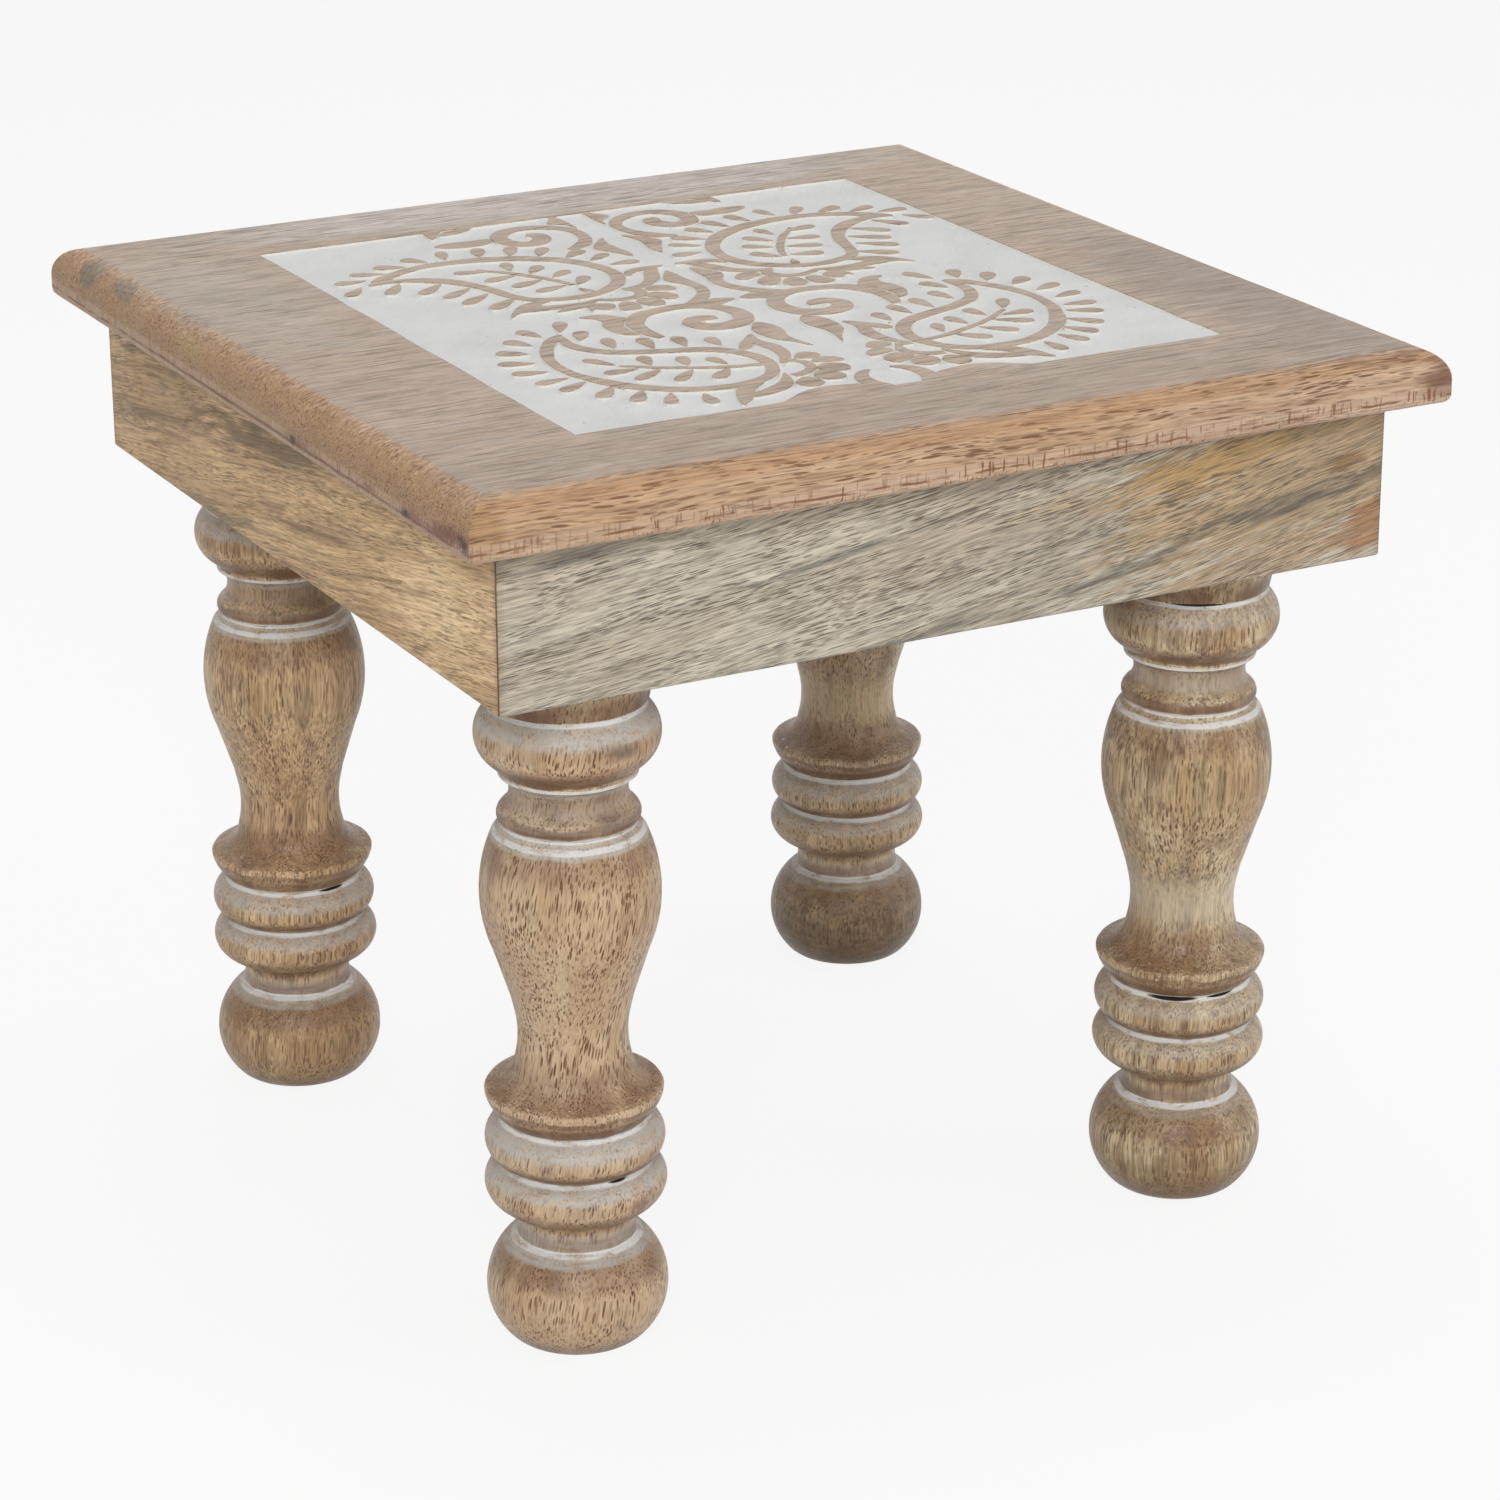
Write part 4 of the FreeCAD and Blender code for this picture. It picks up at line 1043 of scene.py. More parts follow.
@dataclass
class CarvedTop:
    """The slab with its rounded edge and carved panel; lengths in mm."""

    square: float = 0.201735
    drawing_middle: float = 749.5
    mirror_back: tuple[float, float] = (770.0, 200.0)
    mirror_front: tuple[float, float] = (757.0, 1250.0)
    panel: tuple[float, float, float, float] = (-100.5, 104.5, -108.0, 110.0)
    panel_step: float = 3.0
    panel_wobble: float = 0.45
    panel_waves: tuple[float, float] = (21.0, 5.0)
    panel_fine: float = 0.35
    figure_wobble: float = 1.3
    figure_waves: tuple[float, float] = (34.0, 7.0)
    figure_fine: float = 0.4
    tremble_seed: int = 3
    edge_step: float = 5.0
    upper_round: float = 9.0
    lower_round: float = 2.5
    round_steps: int = 9
    lower_steps: int = 3
    arris: float = 0.35
    wear: float = 0.35
    wear_from: float = 0.5
    wear_full: float = 4.0
    # how far inwards and how far down each step of a carved wall goes
    carving_steps: tuple[tuple[float, float], ...] = (
        (0.05, -0.03), (0.06, -0.12), (0.06, -0.3), (0.07, -0.3), (0.12, -0.19), (0.2, -0.06),
    )
    panel_depth: float = 1.0
    # in square mm
    least_island: float = 1.6
    least_outline: float = 1e-6
    merge: float = 1e-5
    low: Vector = field(default_factory=lambda: Vector(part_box("top_slab")[0]) / MM)
    high: Vector = field(default_factory=lambda: Vector(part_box("top_slab")[1]) / MM)

    @staticmethod
    def tremble(x: float, y: float, wave: float, layer: float) -> Vector:
        """A smooth push at a point, from waves this long and one layer of the noise."""
        return noise.noise_vector(Vector((x / wave, y / wave, layer)))

    def on_top(self, x: float, y: float, mirrored: bool) -> Vector:
        """Where a point of the drawing lies on the top, in mm.

        Args:
            x: the drawing's x.
            y: the drawing's y.
            mirrored: whether it is taken to the right half.

        Returns:
            The point, with a slight tremble as of a hand-held chisel.
        """
        if mirrored:
            (back_x, back_y), (front_x, front_y) = self.mirror_back, self.mirror_front
            share = (y - back_y) / (front_y - back_y)
            x = 2.0 * (back_x + share * (front_x - back_x)) - x
        slow = self.tremble(x, y, self.figure_waves[0], 3.7) * self.figure_wobble
        fine = self.tremble(x, y, self.figure_waves[1], 9.1)
        fine = fine * self.figure_wobble * self.figure_fine
        return Vector((
            (x + slow.x + fine.x - self.drawing_middle) * self.square,
            (self.drawing_middle - y - slow.y - fine.y) * self.square,
        ))

    @staticmethod
    def walk(corners: list[Vector], step: float) -> list[Vector]:
        """Walk along a closed outline.

        Args:
            corners: its corners, in mm.
            step: about how far apart the points are.

        Returns:
            The points, from the first corner on.
        """
        line = []
        for start, end in zip(corners, corners[1:] + corners[:1]):
            count = round((end - start).length / step)
            line += [start.lerp(end, index / count) for index in range(count)]
        return line

    def panel_outline(self) -> list[Vector]:
        """The panel's edge, slightly uneven.

        Returns:
            Its points, anticlockwise.
        """
        left, right, front, back = self.panel
        corners = (left, front), (right, front), (right, back), (left, back)
        line = []
        for point in self.walk([Vector(corner) for corner in corners], self.panel_step):
            slow = self.tremble(*point, self.panel_waves[0], 1.3)
            fine = self.tremble(*point, self.panel_waves[1], 5.3) * self.panel_fine
            line.append(point + (slow + fine).to_2d() * self.panel_wobble)
        return line

    def square_outline(self, half: float) -> list[Vector]:
        """A square about the middle, with points a step apart."""
        corners = (-1, -1), (1, -1), (1, 1), (-1, 1)
        return self.walk([Vector(corner) * half for corner in corners], self.edge_step)

    def flat_regions(self) -> tuple[list[Vector], list[tuple[list[int], bool]]]:
        """Divide the flat of the top along the outlines of the carving.

        Returns:
            The points, and triangles of their numbers, each with whether it is sunk.
        """
        half = self.high.x - self.upper_round
        outlines = [self.square_outline(half), self.panel_outline()]
        for group in CARVING:
            for figure in group:
                for outline in figure.outlines():
                    for mirrored in (False, True):
                        outlines.append([self.on_top(p.x, p.y, mirrored) for p in outline])
        points, faces = [], []
        for outline in outlines:
            area = sum(a.cross(b) for a, b in zip(outline, outline[1:] + outline[:1]))
            if abs(area) < self.least_outline:
                continue
            numbers = list(range(len(points), len(points) + len(outline)))
            points += outline
            faces.append(numbers if area > 0.0 else numbers[::-1])
        # the second outline is the panel's, and 1 keeps only triangles inside some outline
        panel_number = inside_only = 1
        found = delaunay_2d_cdt(points, [], faces, inside_only, self.merge, True)
        points, _, triangles, _, _, owners = found
        sunk = [max(numbers, default=0) == panel_number for numbers in owners]
        return points, list(zip(triangles, sunk))

    def carve(self, work: bmesh.types.BMesh) -> None:
        """Lay out the flat of the top and sink the ground in rounded steps.

        Args:
            work: the slab's mesh, empty so far.
        """
        points, triangles = self.flat_regions()
        corners = [work.verts.new((p.x * MM, p.y * MM, self.high.z * MM)) for p in points]
        ground = []
        for numbers, sunk in triangles:
            face = work.faces.new([corners[number] for number in numbers])
            if sunk:
                ground.append(face)
        self.leave_small_islands(ground)
        for thickness, depth in self.carving_steps:
            bmesh.ops.inset_region(
                work,
                faces=ground,
                use_boundary=True,
                thickness=thickness * MM,
                depth=depth * MM,
            )
        lowest = (self.high.z - self.panel_depth) * MM
        for vert in work.verts:
            vert.co.z = min(max(vert.co.z, lowest), self.high.z * MM)

    def leave_small_islands(self, ground: list[bmesh.types.BMFace]) -> None:
        """Take pieces of ground too small for a chisel off the list.

        Args:
            ground: the faces to sink, which is shortened.
        """
        left = set(ground)
        while left:
            island, border = set(), [left.pop()]
            while border:
                face = border.pop()
                island.add(face)
                for edge in face.edges:
                    for other in edge.link_faces:
                        if other in left:
                            left.remove(other)
                            border.append(other)
            if sum(face.calc_area() for face in island) < self.least_island * MM * MM:
                for face in island:
                    ground.remove(face)

    def round_over(self, work: bmesh.types.BMesh) -> None:
        """Carry the slab's outer edge round and down, and close the underside.

        Args:
            work: the slab's mesh with its flat.
        """
        half = self.high.x - self.upper_round
        rings = []
        for step in range(1, self.round_steps + 1):
            angle = math.radians(90.0) * step / self.round_steps
            out = half + self.upper_round * math.sin(angle)
            down = self.upper_round * (1.0 - math.cos(angle))
            rings.append((out, self.high.z - down - self.arris * (1.0 - step / self.round_steps)))
        for step in range(self.lower_steps + 1):
            angle = math.radians(90.0 / self.lower_steps) * step
            out = self.high.x - self.lower_round * (1.0 - math.cos(angle))
            rings.append((out, self.low.z + self.lower_round * (1.0 - math.sin(angle))))
        edges = [edge for edge in work.edges if edge.is_boundary]
        for out, height in rings:
            grown = bmesh.ops.extrude_edge_only(work, edges=edges)["geom"]
            verts = [item for item in grown if isinstance(item, bmesh.types.BMVert)]
            edges = [item for item in grown if isinstance(item, bmesh.types.BMEdge)]
            reach = max(abs(vert.co.x) for vert in verts)
            bmesh.ops.scale(work, verts=verts, vec=(out * MM / reach, out * MM / reach, 1.0))
            for vert in verts:
                vert.co.z = height * MM
        bmesh.ops.contextual_create(work, geom=edges)

    def wear_down(self, work: bmesh.types.BMesh) -> None:
        """Rub the outer edge slightly uneven, always inwards.

        Args:
            work: the slab's closed mesh.
        """
        flat = self.high.x - self.upper_round
        for vert in work.verts:
            reach = max(abs(vert.co.x), abs(vert.co.y)) / MM - flat
            if reach > self.wear_from:
                rub = 0.5 + 0.5 * noise.noise(vert.co * 60.0) + 0.3 * noise.noise(vert.co * 240.0)
                rub = max(rub, 0.0) * self.wear * min(reach / self.wear_full, 1.0)
                share = 1.0 - rub / self.high.x
                vert.co.x *= share
                vert.co.y *= share

    def build(self, finish: SlabFinish) -> bpy.types.Object:
        """Make the carved slab.

        Args:
            finish: its finish.

        Returns:
            The piece.
        """
        noise.seed_set(self.tremble_seed)
        work = bmesh.new()
        self.carve(work)
        self.round_over(work)
        self.wear_down(work)
        return dress(work, "carved_top", finish.build(), ("top_slab",), 24.0)


@dataclass
class Apron:
    """The four mitred boards under the slab; lengths in mm."""

    thickness: float = 12.0
    corner_bevel: float = 0.55
    lower_bevel: float = 1.5
    inner_bevel: float = 0.8

    def board(self, side: Side, finish: BoardFinish) -> bpy.types.Object:
        """Make one board, drawn as the front one and turned to its side.

        Args:
            side: where it goes.
            finish: its finish.

        Returns:
            The piece.
        """
        low, high = (Vector(corner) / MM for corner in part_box("apron_front"))
        out, inside = high.x, high.x - self.thickness
        work = bmesh.new()
        outline = ((-out, -out), (out, -out), (inside, -inside), (-inside, -inside))
        verts = [work.verts.new((x * MM, y * MM, low.z * MM)) for x, y in outline]
        floor = work.faces.new(verts)
        grown = bmesh.ops.extrude_face_region(work, geom=[floor])["geom"]
        raised = [item for item in grown if isinstance(item, bmesh.types.BMVert)]
        bmesh.ops.translate(work, verts=raised, vec=(0.0, 0.0, (high.z - low.z) * MM))
        bmesh.ops.recalc_face_normals(work, faces=work.faces)
        self.soften(work, self.edges_at(work, -out, low.z), self.lower_bevel, 4)
        self.soften(work, self.edges_at(work, -inside, low.z), self.inner_bevel, 2)
        self.soften(work, self.corner_edges(work, out), self.corner_bevel, 2)
        turn = Matrix.Rotation(math.radians(side.value), 3, "Z")
        bmesh.ops.rotate(work, verts=work.verts, matrix=turn)
        node = f"apron_{side.node}"
        return dress(work, f"board_{side.node}", finish.build(), (node,), 40.0)

    @staticmethod
    def edges_at(work: bmesh.types.BMesh, y: float, z: float) -> list[bmesh.types.BMEdge]:
        """The edges that run along the board at one place.

        Args:
            work: the board's mesh.
            y: their y, in mm.
            z: their z, in mm.

        Returns:
            The edges.
        """
        return [
            edge for edge in work.edges
            if all(math.hypot(v.co.y - y * MM, v.co.z - z * MM) < TOUCH for v in edge.verts)
        ]

    @staticmethod
    def corner_edges(work: bmesh.types.BMesh, out: float) -> list[bmesh.types.BMEdge]:
        """The two upright edges at the table's corners.

        Args:
            work: the board's mesh.
            out: how far out they stand, in mm.

        Returns:
            The edges.
        """
        return [
            edge for edge in work.edges
            if all(abs(vert.co.x) > out * MM - TOUCH for vert in edge.verts)
            and abs(edge.verts[0].co.z - edge.verts[1].co.z) > 5.0 * MM
        ]

    @staticmethod
    def soften(work: bmesh.types.BMesh, edges: list, width: float, steps: int) -> None:
        """Round some edges.

        Args:
            work: the board's mesh.
            edges: the edges.
            width: the round's width, in mm.
            steps: how many faces make the round.
        """
        bmesh.ops.bevel(
            work,
            geom=edges,
            offset=width * MM,
            offset_type="OFFSET",
            affect="EDGES",
            segments=steps,
            profile=0.5,
            material=-1,
        )


@dataclass
class TurnedLeg:
    """A leg turned below a square top; lengths in mm.

    The outline's runs give a height and a radius at their end; an arc first gives those of
    a point that it passes through.
    """

    foot_radius: float = 18.5
    foot_round: float = 1.2
    foot_edge: tuple[float, float] = (0.5, 0.6)
    foot_clear: float = 1.0
    turned_to: float = 200.0
    blank_half: float = 26.0
    blank_clear: float = 0.05
    outline: tuple[tuple[float, ...], ...] = (
        (15.6, 25.9, 30.0, 19.3), (31.2, 17.2), (35.5, 16.6, 40.5, 17.8),
        (42.0, 22.8, 47.3, 25.8), (51.7, 24.4, 53.6, 21.8), (54.4, 21.0), (55.2, 21.8),
        (61.0, 25.5, 66.8, 21.8), (67.8, 20.8), (69.0, 21.6), (71.9, 23.9, 75.0, 25.2),
        (76.5, 25.1, 77.4, 23.6), (80.1, 18.6, 84.8, 16.5), (91.4, 15.5, 99.9, 16.3),
        (104.3, 17.3), (118.9, 21.9), (135.5, 25.2, 151.8, 22.0), (154.3, 20.6, 155.4, 19.2),
        (156.2, 18.8), (157.1, 19.6), (158.8, 19.9, 160.7, 19.0), (165.4, 16.4, 169.8, 18.0),
        (170.4, 19.4), (172.1, 19.7), (173.4, 20.6), (181.9, 25.8, 189.3, 22.8), (191.0, 21.8),
        (192.3, 22.6), (198.0, 24.0, 205.0, 27.6), (208.8, 32.0, 212.0, 37.7),
    )
    arc_step: float = 1.1
    spin_steps: int = 84
    unevenness: float = 0.14
    waves_per_metre: float = 45.0
    still_core: float = 1.0

    def arc(self, start: Vector, through: Vector, end: Vector) -> list[Vector]:
        """Points of an arc after its start.

        Args:
            start: where it starts, as radius and height.
            through: a point that it passes through.
            end: where it ends.

        Returns:
            The points, the end included.
        """
        first, second = through - start, end - start
        cross = 2.0 * first.cross(second)
        centre = start + Vector((
            second.y * first.length_squared - first.y * second.length_squared,
            first.x * second.length_squared - second.x * first.length_squared,
        )) / cross
        radius = (start - centre).length
        turn = 2.0 * math.asin(min(second.length / (2.0 * radius), 1.0))
        if (start - centre).dot(end - centre) > 0 and first.length > second.length:
            turn = 2.0 * math.pi - turn
        count = max(3, round(radius * turn / self.arc_step))
        sign = 1.0 if cross > 0.0 else -1.0
        return [
            centre + Matrix.Rotation(sign * turn * index / count, 2) @ (start - centre)
            for index in range(1, count + 1)
        ]

    def profile(self, top: float) -> list[Vector]:
        """Half the leg's outline.

        Args:
            top: the height of the leg's top, in mm.

        Returns:
            Points from the middle of the foot to the middle of the top.
        """
        here = Vector((self.foot_radius, 0.0))
        flat_end = here - Vector((self.foot_round, 0.0))
        line = [Vector((0.0, 0.0)), flat_end, here + Vector(self.foot_edge)]
        for run in self.outline:
            end = Vector((run[-1], run[-2]))
            if len(run) == 2:
                line.append(end)
            else:
                points = self.arc(here, Vector((run[1], run[0])), end)
                line += [point for point in points if point.y > self.foot_clear]
            here = end
        return line + [Vector((here.x, top)), Vector((0.0, top))]

    def build(self, corner: Corner, finish: LegFinish) -> bpy.types.Object:
        """Spin the outline, saw the top square and wear the turning slightly uneven.

        Args:
            corner: where the leg stands.
            finish: its finish.

        Returns:
            The piece.
        """
        node = f"leg_{corner.node}"
        low, high = (Vector(point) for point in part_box(node))
        centre = ((low + high) / 2.0).to_2d().to_3d()
        work = bmesh.new()
        verts = [work.verts.new((p.x * MM, 0.0, p.y * MM)) for p in self.profile(high.z / MM)]
        edges = [work.edges.new(pair) for pair in zip(verts, verts[1:])]
        bmesh.ops.spin(
            work,
            geom=verts + edges,
            cent=(0.0, 0.0, 0.0),
            axis=(0.0, 0.0, 1.0),
            angle=math.tau,
            steps=self.spin_steps,
            use_merge=True,
        )
        bmesh.ops.remove_doubles(work, verts=work.verts, dist=0.001 * MM)
        bmesh.ops.recalc_face_normals(work, faces=work.faces)
        self.square_top(work)
        self.make_uneven(work, corner)
        bmesh.ops.translate(work, verts=work.verts, vec=centre)
        return dress(work, f"turned_{node}", finish.build(), (node,), 32.0)

    def square_top(self, work: bmesh.types.BMesh) -> None:
        """Saw the four faces of the leg's square top.

        Args:
            work: the spun mesh, about the upright axis.
        """
        for x, y in ((1, 0), (-1, 0), (0, 1), (0, -1)):
            face = Vector((x, y, 0.0))
            cut = bmesh.ops.bisect_plane(
                work,
                geom=[*work.verts, *work.edges, *work.faces],
                dist=0.0001 * MM,
                plane_co=face * self.blank_half * MM,
                plane_no=face,
                clear_outer=True,
            )
            rim = [item for item in cut["geom_cut"] if isinstance(item, bmesh.types.BMEdge)]
            bmesh.ops.contextual_create(work, geom=rim)

    def make_uneven(self, work: bmesh.types.BMesh, corner: Corner) -> None:
        """Push the turned part in and out a little, never past the square blank.

        Args:
            work: the leg's mesh, about the upright axis.
            corner: where the leg goes, so that no two are alike.
        """
        shift = Vector((corner.value[0] * 3.0, corner.value[1] * 5.0, 0.0))
        most = (self.blank_half - self.blank_clear) * MM
        for vert in work.verts:
            radius = vert.co.to_2d().length
            turned = self.foot_clear < vert.co.z / MM < self.turned_to
            if turned and radius > self.still_core * MM:
                push = noise.noise(vert.co * self.waves_per_metre + shift) * self.unevenness * MM
                share = 1.0 + min(push, most - radius) / radius
                vert.co.x *= share
                vert.co.y *= share


@dataclass
class HiddenPieces:
    """Cleats, dowels and screws: their solids stay, and get finishes."""

    cleats: BattenFinish
    dowels: BattenFinish
    screws: ZincFinish

    def dress(self) -> None:
        """Give every hidden node its material."""
        finishes = {
            "cleat": self.cleats.build(),
            "dowels": self.dowels.build(),
            "side": self.screws.build(),
        }
        finishes["top"] = finishes["side"]
        for name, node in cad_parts.items():
            kind = name.split("_")[0]
            if kind in finishes and name != "top_slab":
                for slot in node.material_slots:
                    slot.material = finishes[kind]
                log.info("%s: keeps its solid", name)


@dataclass(frozen=True)
class Lamp:
    """A round soft lamp; lengths in metres, power in watts."""

    name: str
    place: Point
    target: Point
    size: float
    power: float

    def hang(self) -> None:
        """Hang the lamp in the scene, turned to its target."""
        data = bpy.data.lights.new(self.name, "AREA")
        data.shape = "DISK"
        data.size = self.size
        data.energy = self.power
        lamp = bpy.data.objects.new(self.name, data)
        aim = (Vector(self.target) - Vector(self.place)).to_track_quat("-Z", "Y")
        lamp.matrix_world = Matrix.Translation(self.place) @ aim.to_matrix().to_4x4()
        bpy.context.scene.collection.objects.link(lamp)


@dataclass
class Studio:
    """The floor, the light and the camera; lengths in metres, angles in degrees."""

    floor_side: float = 12.0
    camera_place: Point = (-0.5875, -1.1086, 0.5996)
    azimuth: float = 28.304
    pitch: float = 20.773
    roll: float = -0.203
    lens: float = 105.352
    world_light: float = 0.4
    lamps: tuple[Lamp, ...] = (
        Lamp("key", (-1.0, -1.7, 1.25), (0.0, 0.0, 0.12), 0.8, 22.0),
        Lamp("fill", (1.5, -1.1, 0.8), (0.0, 0.0, 0.12), 1.3, 8.0),
        Lamp("over", (0.1, 0.4, 1.9), (0.0, 0.0, 0.15), 1.0, 9.5),
    )

    def floor(self) -> bpy.types.Object:
        """Lay the floor.

        Returns:
            The floor.
        """
        work = bmesh.new()
        bmesh.ops.create_grid(work, x_segments=1, y_segments=1, size=self.floor_side / 2.0)
        mesh = bpy.data.meshes.new("studio_floor")
        work.to_mesh(mesh)
        work.free()
        mesh.materials.append(FloorFinish().build())
        floor = bpy.data.objects.new("studio_floor", mesh)
        bpy.context.scene.collection.objects.link(floor)
        return floor

    def light(self) -> None:
        """Hang the lamps and set the world's light."""
        for lamp in self.lamps:
            lamp.hang()
        sheet = Sheet(bpy.data.worlds.new("studio"))
        glow = {"Color": WHITE, "Strength": self.world_light}
        inputs = {
            0: sheet.white_where_seen(),
            1: sheet.node("ShaderNodeBackground", {}, glow),
            2: sheet.node("ShaderNodeBackground", {}, {"Color": WHITE}),
        }
        mixed = sheet.node("ShaderNodeMixShader", {}, inputs)
        bpy.context.scene.world = sheet.close(mixed)

    def camera(self) -> None:
        """Set the camera where the photograph was taken from."""
        turn, dip, tilt = (math.radians(v) for v in (self.azimuth, self.pitch, self.roll))
        forward = Vector((
            math.sin(turn) * math.cos(dip), math.cos(turn) * math.cos(dip), -math.sin(dip),
        ))
        level = Vector((math.cos(turn), -math.sin(turn), 0.0))
        upward = level.cross(forward)
        right = level * math.cos(tilt) + upward * math.sin(tilt)
        up = upward * math.cos(tilt) - level * math.sin(tilt)
        data = bpy.data.cameras.new("camera")
        data.sensor_fit = "HORIZONTAL"
        data.sensor_width = 36.0
        data.lens = self.lens
        camera = bpy.data.objects.new("camera", data)
        axes = Matrix((right, up, -forward)).transposed().to_4x4()
        camera.matrix_world = Matrix.Translation(self.camera_place) @ axes
        bpy.context.scene.collection.objects.link(camera)
        bpy.context.scene.camera = camera

    def set_up(self) -> None:
        """Build the whole studio."""
        self.floor()
        self.light()
        self.camera()
        bpy.context.scene.view_settings.view_transform = "Standard"
        log.info("studio: floor, %d lamps and camera", len(self.lamps))


SLAB = SlabFinish(
    Wood(
        pale=(0.55, 0.385, 0.26), warm=(0.48, 0.305, 0.18), streak=(0.36, 0.20, 0.115),
        pore=(0.17, 0.075, 0.035), pore_size=(11, 1.05, 1.05), pore_reach=0.37,
        fleck_size=(6, 0.75, 0.75),
        fleck_reach=0.35, pore_strength=0.9, line_size=(34, 0.6), line_strength=0.5,
        stains=(
            Stain((0, -149, 265), (400, 6, 3.4), (0.42, 0.245, 0.13), 0.75, (0, 0, 0), 0.2, 0.5),
            Stain((0, -128, 268), (400, 24, 8), (0.32, 0.21, 0.135), 0.75, (0, 0, 0), 0.4, 0.5),
            Stain((-152, 0, 259), (12, 400, 12), (0.385, 0.235, 0.12), 0.95, (0, 0, 0), 0.6),
            Stain((-150, 124, 264), (10, 11, 5), (0.16, 0.145, 0.12), 0.75),
            Stain((-150, 97, 265), (8, 13, 4), (0.19, 0.165, 0.125), 0.7),
            Stain((-145, 52, 267), (6, 16, 3), (0.22, 0.18, 0.125), 0.6),
            Stain((-152, 40, 262), (6, 14, 4), (0.42, 0.32, 0.15), 0.5),
            Stain((-128, 60, 268), (30, 90, 8), (0.47, 0.42, 0.36), 0.5),
            Stain((10, 131, 268), (146, 24, 5), (0.76, 0.72, 0.66), 0.85, (0, 0, 0), 0.6, 0.3),
            Stain((-120, 68, 267), (34, 8, 6), (0.24, 0.22, 0.18), 0.55, (0, 0, 2)),
            Stain((-118, 76, 268), (9, 3, 6), (0.50, 0.30, 0.20), 0.6, (0, 0, 4)),
            Stain((132, -70, 267), (28, 120, 6), (0.18, 0.10, 0.06), 0.85),
            Stain((150, -150, 258), (12, 12, 8), (0.14, 0.05, 0.03), 0.75),
        ),
    ),
    knots=(
        Stain((-153, -20, 254), (4, 170, 0.9), (0.20, 0.09, 0.05), 0.85, (0, 0, 0), 0.2, 0.8),
        Stain((-153, -138, 256), (6, 17, 3.4), (0.17, 0.06, 0.035), 0.85, (-8, 0, 0), 0.3, 1.5),
        Stain((-153, -118, 255), (6, 12, 3), (0.20, 0.08, 0.045), 0.7, (0, 0, 0), 0.2, 1.5),
        Stain((-153, -42, 255), (6, 14, 3), (0.22, 0.09, 0.05), 0.7, (0, 0, 0), 0.2, 1.5),
        Stain((-153, -90, 255), (6, 7, 1.6), (0.22, 0.09, 0.05), 0.6, (0, 0, 0), 0.2, 1.5),
        Stain((-153, -149, 256), (6, 4.2, 3), (0.04, 0.014, 0.01), 0.95, (20, 0, 0), 0.2, 1.6),
        Stain((-153, -113, 254.6), (6, 3.4, 2), (0.04, 0.016, 0.012), 0.95, (0, 0, 0), 0.2, 1.4),
        Stain((-153, -38, 254.8), (6, 3.6, 2), (0.09, 0.03, 0.02), 0.95, (0, 0, 0), 0.2, 1.4),
    ),
)
